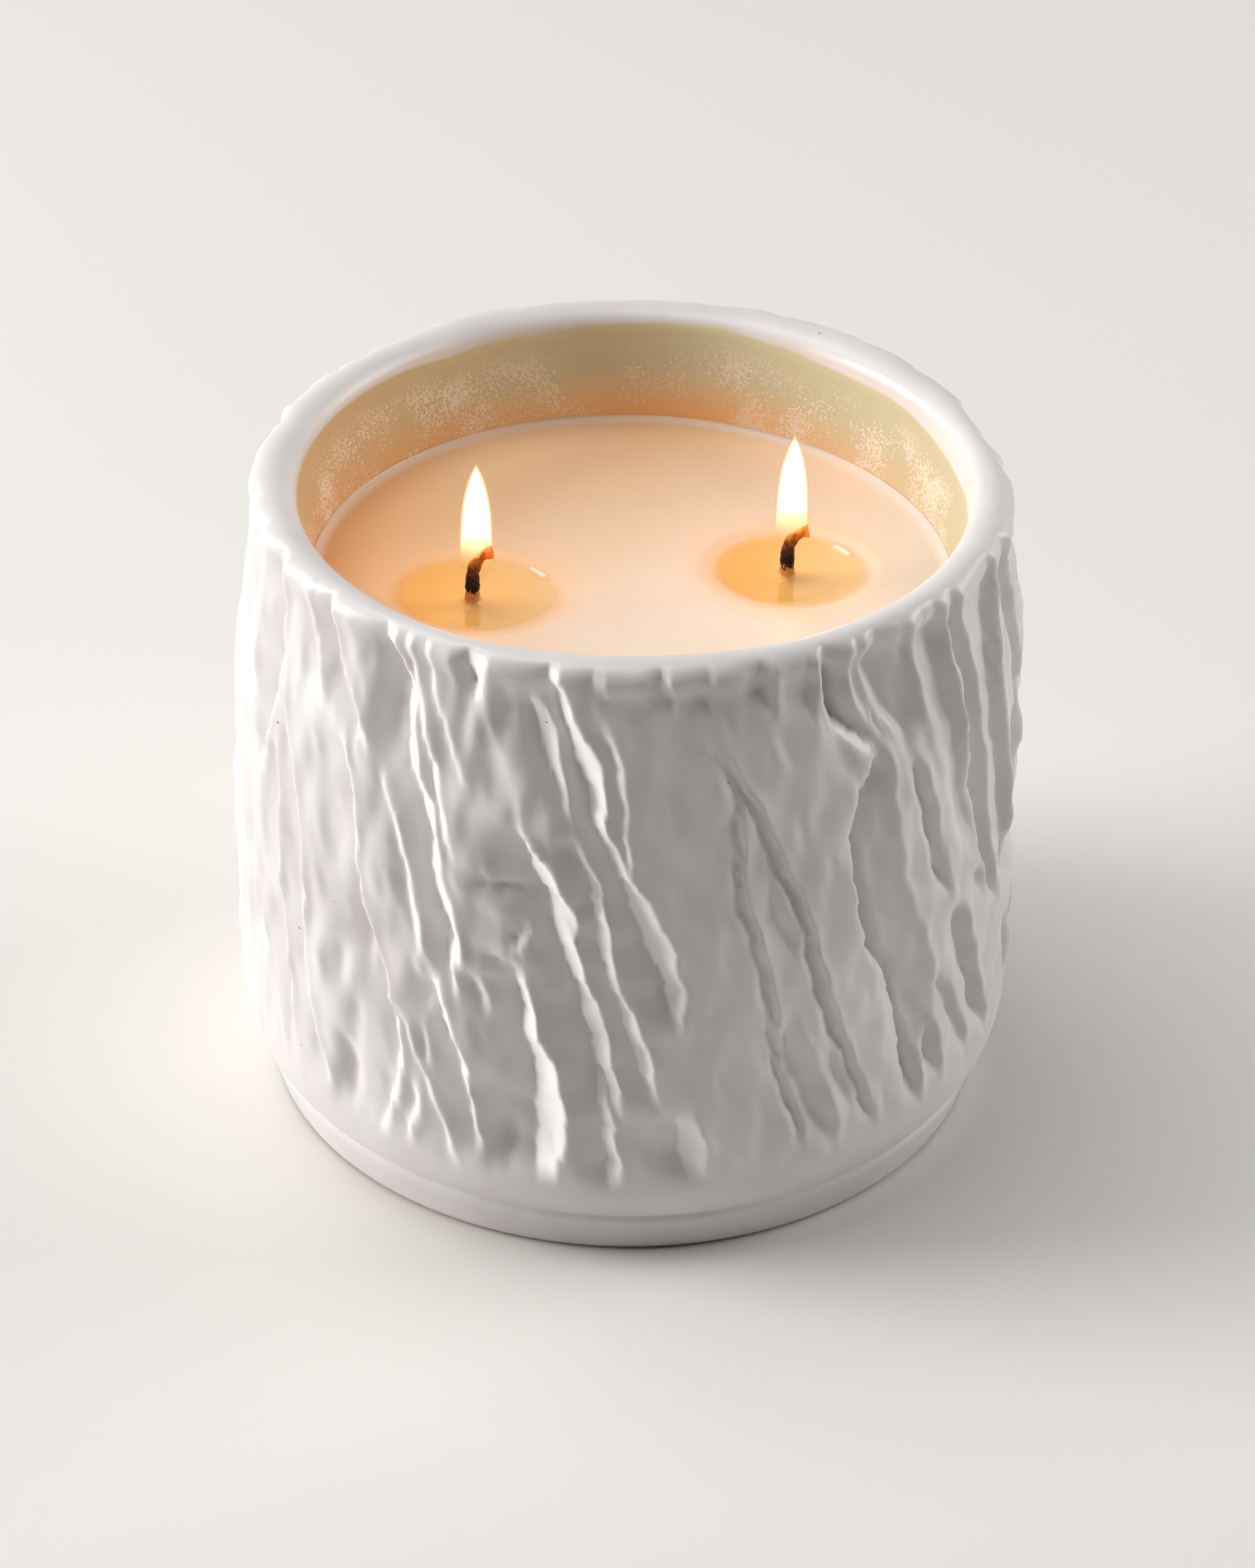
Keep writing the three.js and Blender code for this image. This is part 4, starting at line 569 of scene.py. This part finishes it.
def makeWax(material):
    # rings from the middle of the floor out, up the side, and back in over the top, closest by the wall
    radii, heights = cavityOutline(wax["level"] + wax["creep"], 10)
    side = evenAngles(240)
    rings = [np.array([[0, 0, floorLevel + 0.3]])]
    for radius, height in zip(radii[::-1], heights[::-1] + 0.02):
        rings.append(ringAt(side, radius - wax["gap"], height))
    shares = 1 - (1 - np.linspace(1, 0.01, wax["rings"])) ** 1.15
    for radius in (cavitySide(wax["level"]) - wax["gap"]) * shares:
        ring = ringAt(evenAngles(wax["columns"] if radius > 4 else 60), max(radius, 0.2), 0)
        ring[:, 2] = waxHeight(ring[:, 0], ring[:, 1])
        rings.append(ring)
    rings.append(np.array([[0, 0, float(waxHeight(0.0, 0.0))]]))
    return pieceFromRings("cream_wax", rings, material)


def makePool(side, spot, material):
    # Rings slide from the circle round the wick out past the pool's edge, over the top and back under it.
    # The top is level, climbs the wick, and wets the firm wax of its shore: a smooth maximum of the two.
    angle = evenAngles(wax["poolColumns"])
    around = np.stack([np.sin(angle), -np.cos(angle)], 1)
    circle = np.array(spot["wick"]) + wax["wickHole"] * around
    halfSize = np.array([spot["poolHalfWidth"], wax["poolHalfLength"]])
    shore = np.array(spot["pool"]) + wax["wetting"] * halfSize * around
    climbHeight, climbWidth = wax["wickMeniscus"]
    halfLength, halfWidth, rise = wax["glintBead"]
    soft = wax["meniscus"]
    top, bottom, shores, glintBeads = [], [], [], []
    for share in np.linspace(0, 1, wax["poolRings"]) ** 0.9:
        flat = circle + (shore - circle) * share
        away = np.hypot(*(flat - np.array(spot["wick"])).T) - wax["wickHole"]
        shores.append(poolShare(spot, *flat.T))
        firm = waxHeight(*flat.T)
        climb = climbHeight * np.exp(-away / climbWidth)
        climb += soft * np.log1p(np.exp((firm + 0.03 - poolLevel) / soft))
        # the last ring dips into the firm wax
        climb -= 0.2 if share == 1 else 0.0
        # a small bead at the far right, which the material paints white as a painted highlight
        off = flat - np.array(spot["glintBead"])
        glintBead = np.exp(-(off @ [0.66, -0.75] / halfLength) ** 4 - (off @ [0.75, 0.66] / halfWidth) ** 2)
        glintBeads.append(glintBead)
        top.append(np.column_stack([flat, poolLevel + climb + rise * glintBead]))
        # the underside lies in the firm wax
        bottom.append(np.column_stack([flat, firm - 0.4]))
    rings = top[::-1] + bottom
    rights = [(ring[:, 0] - spot["pool"][0]) / spot["poolHalfWidth"] for ring in rings]
    return pieceFromRings("liquid_wax_" + side, rings, material, looped=True,
                          attributes={"shore": shores[::-1] + shores, "glintBead": glintBeads[::-1] + glintBeads,
                                      "rightward": rights})


# The wicks: a braided tube that stands straight out of its tin and curls over at the charred tip. Mm.
wick = {
    "radius": 0.88,
    "bore": 0.5,
    "bendStart": 3.4,
    "reach": 2.5,
    "bendEase": 0.6,
    "braidRise": 0.09,
    "braidPitch": 1.3,
    "strands": 4,
    "thinning": 0.22,  # of the radius, burnt away towards the tip
    "fray": 0.12,
    "soaked": 0.14,  # fatter where the melted wax soaks it
    "columns": 40,
    "rows": 90,
    "boreRows": 14,
}


def wickLine(spot):
    # straight up, then a quadratic curve to the tip: points, directions and length run from the pool
    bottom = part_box("wick_sustainer_left")[0].z / mm
    upright = np.linspace(bottom, poolLevel + wick["bendStart"], wick["rows"])[:-1]
    share = np.linspace(0, 1, wick["rows"])[:, None]
    start = np.array([0, 0, poolLevel + wick["bendStart"]])
    pull = np.array([0, 0, poolLevel + spot["stand"] - wick["bendEase"]])
    tip = np.array([wick["reach"], 0, poolLevel + spot["stand"]])
    bend = (1 - share) ** 2 * start + 2 * share * (1 - share) * pull + share ** 2 * tip
    points = np.concatenate([np.column_stack([np.zeros((len(upright), 2)), upright]), bend])
    ahead = np.gradient(points, axis=0)
    ahead /= np.linalg.norm(ahead, axis=1)[:, None]
    gaps = np.linalg.norm(np.diff(points, axis=0), axis=1)
    run = np.concatenate([[0], np.cumsum(gaps)]) - (poolLevel - bottom)
    return points + np.array([*spot["wick"], 0]), ahead, run


def tubeRings(points, ahead, radii):
    # rings of the given radii (one row each) round the line, square to it
    angle = evenAngles(radii.shape[1])[None, :, None]
    side = np.array([0.0, 1.0, 0.0])
    across = np.cross(side, ahead)[:, None]
    return list(points[:, None] + radii[..., None] * (across * np.cos(angle) + side * np.sin(angle)))


def makeWick(side, spot, material):
    points, ahead, run = wickLine(spot)
    angle = evenAngles(wick["columns"])
    along, tip = run[:, None], run.max()
    # braid: two sets of strands wind opposite ways, and whichever lies on top stands proud
    twist = 2 * np.pi * along / wick["braidPitch"]
    braid = np.maximum(np.sin(wick["strands"] * angle + twist), np.sin(wick["strands"] * angle - twist))
    # the charred part is knotty
    knots = 0.07 * np.sin(2.3 * along + 1.0) + 0.05 * np.sin(5.1 * along + 2 * angle)
    knots = knots * smoothRise(along, 1.0, 2.6)
    fray = wick["fray"] * smoothRise(along, tip - 1.2, tip)
    soaked = wick["soaked"] * (1 - smoothRise(along, 1.2, 2.4))
    thinning = wick["thinning"] * smoothRise(along, 3.0, tip - 1.0)
    outer = wick["radius"] * (0.93 + wick["braidRise"] * braid + knots + fray + soaked - thinning)
    last = wick["boreRows"]
    bore = np.tile(wick["bore"] * (1 + 0.1 * np.sin(3 * angle + 1.0)), (last, 1))
    rings = [points[:1]] + tubeRings(points, ahead, outer)
    rings += tubeRings(points[-last:], ahead[-last:], bore)[::-1] + [points[-last:-last + 1]]
    heights = [run[0], *run, *run[:-last - 1:-1], run[-last]]
    runs = [np.full(len(ring), height) for ring, height in zip(rings, heights)]
    shares = [values / tip for values in runs]
    return pieceFromRings("braided_wick_" + side, rings, material,
                          attributes={"run": runs, "tipShare": shares})


# The flames: three skins of one teardrop, the outer ones thinner and more orange. Mm.
flame = {
    "halfWidth": 2.5,
    "tipSharpness": 4.4,  # length over which the tip opens
    "base": 2.2,  # above the pool
    "foot": 3.4,  # height over which it closes below
    "shift": (0.4, 1.6),  # from the wick's foot, to the right and back
    "columns": 36,
    "rows": 60,
    "glow": {"watts": 0.002, "colour": "#ffb468", "radius": 2, "height": 0.55},  # the light it gives
    "skins": {
        # name: (scale, colours from the foot up, strength, solidity)
        "outer": (1.0, [(0.3, "#ff9a3c"), (0.7, "#ffb45a")], 1.1, 0.2),
        "middle": (0.93, [(0.3, "#ffab48"), (0.6, "#ffe6b8")], 1.5, 0.35),
        "core": (0.84, [(0.28, "#ffb347"), (0.45, "#ffe2ac"), (0.6, "#fffaf2")], 3.0, 1.0),
    },
}


def flamePoint(spot, height):
    return np.array([spot["wick"][0] + flame["shift"][0], spot["wick"][1] + flame["shift"][1], height])


def makeFlame(side, spot, skin, material):
    # Radius opens from the tip as 1 - exp(-distance), and closes round the wick at the base.
    scale = flame["skins"][skin][0]
    height = spot["flame"] - flame["base"] - (1 - scale) * 4
    fall = height * np.linspace(1, 0, flame["rows"])[:-1]
    radii = flame["halfWidth"] * scale * (1 - np.exp(-fall / flame["tipSharpness"]))
    radii *= np.sqrt(np.clip((height - fall + 0.3) / flame["foot"], 0.02, 1))
    levels = poolLevel + flame["base"] + height - fall
    middle = flamePoint(spot, 0)
    angle = evenAngles(flame["columns"])
    rings = [middle[None] + [0, 0, levels[0]]]
    rings += [middle + ringAt(angle, radius, level) for radius, level in zip(radii, levels)]
    rings.append(middle[None] + [0, 0, poolLevel + flame["base"] + height])
    rise = [(ring[:, 2] - poolLevel) / spot["flame"] for ring in rings]
    piece = pieceFromRings("flame_" + skin + "_" + side, rings, material, attributes={"rise": rise})
    piece.visible_shadow = False  # light goes through a flame
    return piece


def makeGlow(side, spot):
    # the light of the flame, from its middle
    glow = flame["glow"]
    data = bpy.data.lights.new("glow_" + side, "POINT")
    data.energy = glow["watts"]
    data.color = linearColour(glow["colour"])[:3]
    data.shadow_soft_size = glow["radius"] * mm
    made = addObject("glow_" + side, data)
    made.location = flamePoint(spot, poolLevel + glow["height"] * spot["flame"]) * mm


# The wax film on the cavity's wall. Mm.
film = {
    "within": 43.6,  # radius, from the jar's axis
    "top": 84.1,
    "bottom": 71.5,
    "fade": 0.5,
    "wander": 1.2,
    "lean": -0.017,  # for each mm towards the back
    "rightDrop": 2.0,
    "frostBelow": 82.5,
}


def makeGlaze():
    # White satin glaze fired on stoneware: soft gloss, small iron specks, and a clay edge at the foot.
    material, tree, shader, place = startMaterial("satinGlaze")
    axes = addNode(tree, "SeparateXYZ", {0: place}).outputs
    cloud = addNode(tree, "TexNoise", {"Vector": place, "Scale": 55.0, "Detail": 3.0})
    body = addNode(tree, "ValToRGB", {0: cloud}, stops=[(0.35, "#d6d2d1"), (0.65, "#e2dfde")])
    # painted shade: greyer down in the hollows; painted highlight: white on the wide faces that look left,
    # towards the key light
    hollowShade = addNode(tree, "Attribute", attribute_name="hollowShade").outputs["Fac"]
    body = layColour(tree, body, "#b9b2ae", hollowShade, 0.45, 1.0, 0.8)
    face = addNode(tree, "Attribute", attribute_name="face").outputs["Fac"]
    body = layColour(tree, body, "#fbfaf8", face, 0.02, 0.7)
    # specks: dots up to 0.3 mm across in one cell out of ten of a 2.4 mm cell pattern
    cells = addNode(tree, "TexVoronoi", {"Vector": place, "Scale": 1 / 0.0024})
    chosen = addNode(tree, "SeparateColor", {0: cells.outputs["Color"]})
    size = addNode(tree, "MapRange", {0: chosen, 1: 0.9, 2: 1.0, 4: 0.07})
    dot = addNode(tree, "Math", {0: cells.outputs["Distance"], 1: size}, operation="LESS_THAN")
    body = addNode(tree, "Mix", {"Factor": dot, "A": body, "B": "#6a5a4c"}, data_type="RGBA")
    # wax film inside the jar: its upper edge wanders, and stops lower at the front and the right
    noise = addNode(tree, "TexNoise", {"Vector": place, "Scale": 28.0, "Detail": 2.0})
    lean = addNode(tree, "Math", {0: axes["Y"], 1: film["lean"]}, operation="MULTIPLY")
    drop = addNode(tree, "MapRange", {0: axes["X"], 1: 0.012, 2: 0.04, 4: film["rightDrop"] * mm})
    wander = film["wander"] * mm
    wandering = addNode(tree, "MapRange", {0: noise, 1: 0.3, 2: 0.7, 3: -wander, 4: wander})
    level = axes["Z"]
    for change in (lean, drop, wandering):
        level = addNode(tree, "Math", {0: level, 1: change}, operation="ADD")
    inside = addNode(tree, "Math", {0: distanceFromAxis(tree, axes), 1: film["within"] * mm},
                     operation="LESS_THAN")
    below = addNode(tree, "MapRange", {0: level, 1: film["top"] * mm, 2: (film["top"] - film["fade"]) * mm})
    filmShare = addNode(tree, "Math", {0: below, 1: inside}, operation="MULTIPLY")
    # tan down by the wax, made brighter there as painted glow of the flames, and straw at the top; painted
    # shade with the flames' glow makes the left wall darker and warmer, and painted shade makes the right
    # greyer
    height = addNode(tree, "MapRange", {0: level, 1: film["bottom"] * mm, 2: 0.083})
    coat = addNode(tree, "ValToRGB", {0: height}, stops=[
        (0.0, "#f6c084"), (0.3, "#e2c296"), (0.6, "#cbc4a6"), (0.95, "#c9c5a8"), (1.0, "#cfcba8")])
    # painted shade and warm flame glow up the left wall; painted shade at the right
    coat = layColour(tree, coat, "#c4945a", axes["X"], -0.012, -0.036, 0.6)
    coat = layColour(tree, coat, "#b6ae8f", axes["X"], 0.016, 0.038, 0.65)
    # frosting: wax splashes 0.4 mm across, in drifts 8 mm across
    flecks = addNode(tree, "TexNoise", {"Vector": place, "Scale": 2700.0, "Detail": 1.0})
    drifts = addNode(tree, "TexNoise", {"Vector": place, "Scale": 120.0, "Detail": 2.0})
    both = addNode(tree, "Math", {0: flecks, 1: drifts}, operation="ADD")
    frost = addNode(tree, "MapRange", {0: both, 1: 1.09, 2: 1.15, 4: 0.6})
    lowDown = addNode(tree, "MapRange", {0: level, 1: film["frostBelow"] * mm, 2: 0.079})
    frostShare = addNode(tree, "Math", {0: frost, 1: lowDown}, operation="MULTIPLY")
    coat = addNode(tree, "Mix", {"Factor": frostShare, "A": coat, "B": "#f0e4d4"}, data_type="RGBA")
    body = addNode(tree, "Mix", {"Factor": filmShare, "A": body, "B": coat}, data_type="RGBA")
    body = layColour(tree, body, "#a2968a", axes["Z"], 0.0007, 0.0004)
    # the glaze's own surface: a slow orange peel 3 mm across
    peel = addNode(tree, "TexNoise", {"Vector": place, "Scale": 330.0, "Detail": 2.0})
    bump = addNode(tree, "Bump", {"Height": peel, "Strength": 0.25, "Distance": 0.00012})
    setInputs(tree, shader, {"Base Color": body, "Normal": bump, "Roughness": 0.38, "IOR": 1.5})
    return material


def makeFirmWax():
    # Soy wax: milky, soft gloss. Painted shade makes it darker and warmer at the left and the back, and
    # painted glow of the flames makes it warmer round each pool.
    material, tree, shader, place = startMaterial("creamWax")
    axes = addNode(tree, "SeparateXYZ", {0: place}).outputs
    cloud = addNode(tree, "TexNoise", {"Vector": place, "Scale": 60.0, "Detail": 3.0})
    colour = addNode(tree, "ValToRGB", {0: cloud}, stops=[(0.3, "#f9e2cf"), (0.7, "#fceada")])
    # painted shade, warmed by the flames' glow, towards the left and the back
    shadeWay = addNode(tree, "VectorMath", {0: place, 1: (-0.6, 0.8, 0.0)}, operation="DOT_PRODUCT")
    colour = layColour(tree, colour, "#eabb86", shadeWay, -0.014, 0.026, 0.8)
    # painted glow of the flames round each pool
    for spot in spots.values():
        centre = [value * mm for value in (*spot["pool"], wax["level"])]
        away = addNode(tree, "VectorMath", {0: place, 1: centre}, operation="DISTANCE")
        colour = layColour(tree, colour, "#f6bd72", away, 0.014, 0.009, 0.35)
    # painted shade: deeper at the far left, with the flames' warm glow, and greyer at the far right; and a
    # paler line where it wets the wall, a painted highlight along the meniscus
    colour = layColour(tree, colour, "#d8944e", axes["X"], -0.02, -0.038, 0.6)
    colour = layColour(tree, colour, "#d5c8b7", axes["X"], 0.027, 0.039, 0.8)
    colour = layColour(tree, colour, "#efd4c8", distanceFromAxis(tree, axes), 0.0391, 0.0401, 0.6)
    setInputs(tree, shader, {"Base Color": colour, "Roughness": 0.42, "IOR": 1.43,
                             "Subsurface Weight": 0.35, "Subsurface Radius": (1.0, 0.55, 0.3),
                             "Subsurface Scale": 0.003})
    return material


def makeLiquidWax():
    # Melted wax: clear amber with a wet, level surface. Alpha stands for its depth: it thins out to
    # nothing over its shore. On a small bead at the far right, a nearly opaque white streak is a painted
    # highlight, the flame's glint.
    material, tree, shader, _ = startMaterial("liquidWax")
    shore, glintBead, rightward = [addNode(tree, "Attribute", attribute_name=name).outputs["Fac"]
                                for name in ("shore", "glintBead", "rightward")]
    depth = addNode(tree, "MapRange", {0: shore, 1: 1.09, 2: 0.84, 4: 0.61},
                    interpolation_type="SMOOTHSTEP")
    # painted highlight: on the bead the wax turns nearly opaque and white
    glintShare = addNode(tree, "MapRange", {0: glintBead, 1: 0.25, 2: 0.8, 4: 0.9})
    solid = addNode(tree, "Math", {0: depth, 1: glintShare}, operation="MAXIMUM")
    # amber at the left of each pool, and paler towards its right
    colour = layColour(tree, "#ffc75c", "#ffe09a", rightward, -0.6, 0.9)
    colour = addNode(tree, "Mix", {"Factor": glintShare, "A": colour, "B": "#fffaf0"}, data_type="RGBA")
    setInputs(tree, shader, {"Base Color": colour, "Alpha": solid, "Roughness": 0.05, "IOR": 1.43})
    return material


def makeWickCotton():
    # Braided cotton: soaked with wax at the foot, charred black above it, glowing orange at the tip.
    material, tree, shader, place = startMaterial("charredCotton")
    run, tip = [addNode(tree, "Attribute", attribute_name=name).outputs["Fac"]
                for name in ("run", "tipShare")]
    rough = addNode(tree, "TexNoise", {"Vector": place, "Scale": 2200.0, "Detail": 2.0})
    ragged = addNode(tree, "MapRange", {0: rough, 1: 0.3, 2: 0.7, 3: -0.6, 4: 0.6})
    height = addNode(tree, "Math", {0: run, 1: ragged}, operation="ADD")
    share = addNode(tree, "MapRange", {0: height, 1: 0.0, 2: 8.5})
    colour = addNode(tree, "ValToRGB", {0: share}, stops=[
        (0.0, "#e3a867"), (0.2, "#c98a55"), (0.25, "#1a0f0a"), (0.42, "#241208"), (0.6, "#683812"),
        (0.78, "#bf6a20"), (1.0, "#d86c2a")])
    glow = addNode(tree, "MapRange", {0: tip, 1: 0.84, 2: 1.0, 4: 0.55})
    fibre = addNode(tree, "Bump", {"Height": rough, "Strength": 0.5, "Distance": 0.0001})
    setInputs(tree, shader, {"Base Color": colour, "Normal": fibre, "Emission Color": "#e87a2a",
                             "Emission Strength": glow, "Roughness": 0.75, "Specular IOR Level": 0.2})
    return material


def makeFlameSkin(skin):
    # Glowing soot: almost no body, only light. Clear round the wick, orange above it, then white.
    _, stops, strength, solidity = flame["skins"][skin]
    material, tree, shader, _ = startMaterial("flame_" + skin)
    rise = addNode(tree, "Attribute", attribute_name="rise").outputs["Fac"]
    clear = addNode(tree, "MapRange", {0: rise, 1: 0.25, 2: 0.72, 4: solidity},
                    interpolation_type="SMOOTHSTEP")
    colour = addNode(tree, "ValToRGB", {0: rise}, stops=stops)
    setInputs(tree, shader, {"Base Color": "#000000", "Alpha": clear, "Specular IOR Level": 0.0,
                             "Emission Color": colour, "Emission Strength": strength})
    return material


def makeGrained(name, scale, detail, stops, **finish):
    # a plain material with a fine grain in two tones
    material, tree, shader, place = startMaterial(name)
    grain = addNode(tree, "TexNoise", {"Vector": place, "Scale": scale, "Detail": detail})
    tone = addNode(tree, "ValToRGB", {0: grain}, stops=stops)
    setInputs(tree, shader, {"Base Color": tone, **finish})
    return material


def finishPiece(piece, slotName, *nodes):
    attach(piece, "root")
    if nodes:
        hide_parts(*nodes)


def makeFloor():
    material, tree, shader, _ = startMaterial("paleFloor")
    setInputs(tree, shader, {"Base Color": studio["floor"], "Roughness": 0.9})
    mesh = bpy.data.meshes.new("floor")
    mesh.from_pydata(studio["floorCorners"], [], [(0, 1, 2, 3)])
    mesh.materials.append(material)
    addObject("floor", mesh)


def makeCamera():
    elevation, roll = math.radians(camera["elevation"]), math.radians(camera["roll"])
    back = np.array([0, -math.cos(elevation), math.sin(elevation)])
    right = np.array([1.0, 0, 0])
    up = np.cross(back, right)
    data = bpy.data.cameras.new("camera")
    data.lens = camera["lens"]
    data.clip_start = 0.01
    matrix = np.eye(4)
    matrix[:3, 0] = math.cos(roll) * right + math.sin(roll) * up
    matrix[:3, 1] = math.cos(roll) * up - math.sin(roll) * right
    matrix[:3, 2] = back
    matrix[:3, 3] = (np.array(camera["aim"]) + back * camera["distance"]) * mm
    made = addObject("camera", data)
    made.matrix_world = Matrix(matrix.tolist())
    bpy.context.scene.camera = made


def makeLights():
    for name, (azimuth, elevation, distance, size, watts, hexColour) in lamps.items():
        data = bpy.data.lights.new(name, "AREA")
        data.shape = "DISK"
        data.size = size
        data.energy = watts
        data.color = linearColour(hexColour)[:3]
        made = addObject(name, data)
        turn, tilt = math.radians(azimuth), math.radians(elevation)
        flat = distance * math.cos(tilt)
        made.location = (flat * math.cos(turn), flat * math.sin(turn), distance * math.sin(tilt))
        made.rotation_euler = (math.pi / 2 - tilt, 0, turn + math.pi / 2)


def makeWorld():
    # dim for the light it gives, but the camera and the gloss see a pale backdrop beyond the floor
    world = bpy.data.worlds.new("studio")
    world.use_nodes = True
    tree = world.node_tree
    dim = tree.nodes["Background"]
    setInputs(tree, dim, {"Color": studio["world"], "Strength": studio["worldStrength"]})
    backdrop = addNode(tree, "Background", {"Color": studio["backdrop"], "Strength": 1.0})
    path = addNode(tree, "LightPath").outputs
    rays = path["Is Camera Ray"]
    for kind in ("Is Glossy Ray", "Is Transmission Ray"):
        rays = addNode(tree, "Math", {0: rays, 1: path[kind]}, operation="MAXIMUM")
    seen = addNode(tree, "MixShader", {0: rays, 1: dim, 2: backdrop})
    setInputs(tree, tree.nodes["World Output"], {"Surface": seen})
    bpy.context.scene.world = world


bpy.context.scene.view_settings.view_transform = "Standard"
makeCamera()
makeLights()
makeWorld()
makeFloor()
print("stage: camera, lamps and floor")

finishPiece(makeJar(makeGlaze()), "glaze", "jar")
print("jar: carved wall, lip and cavity")

finishPiece(makeWax(makeFirmWax()), "wax", "wax_fill")
liquid = makeLiquidWax()
cotton = makeWickCotton()
flameSkins = {skin: makeFlameSkin(skin) for skin in flame["skins"]}
for side, spot in spots.items():
    finishPiece(makePool(side, spot, liquid), "melted_wax", "melt_pool_" + side)
    finishPiece(makeWick(side, spot, cotton), "wick_cotton", "wick_" + side)
    for skin, glow in flameSkins.items():
        finishPiece(makeFlame(side, spot, skin, glow), "melted_wax")
    makeGlow(side, spot)
    print("wick, pool and flame:", side)

# what the wax hides keeps its CAD mesh: stamped tinplate, the stickers' foam and the cores' twisted paper
hidden = {
    "wick_sustainer_": makeGrained("tinplate", 900.0, 2.0, [(0.3, "#b9bbbd"), (0.7, "#d0d2d3")],
                                   Metallic=1.0, Roughness=0.32),
    "wick_sticker_": makeGrained("foamSticker", 2500.0, 3.0, [(0.35, "#e4e3dd"), (0.65, "#f1f0ea")],
                                 Roughness=0.85),
    "wick_core_": makeGrained("twistedPaper", 1800.0, 3.0, [(0.35, "#b9ad98"), (0.65, "#d3c9b6")],
                              Roughness=0.85),
}
for stem, material in hidden.items():
    for side in spots:
        for slot in bpy.data.objects[stem + side].material_slots:
            slot.material = material
print("tins, stickers and cores: finished")
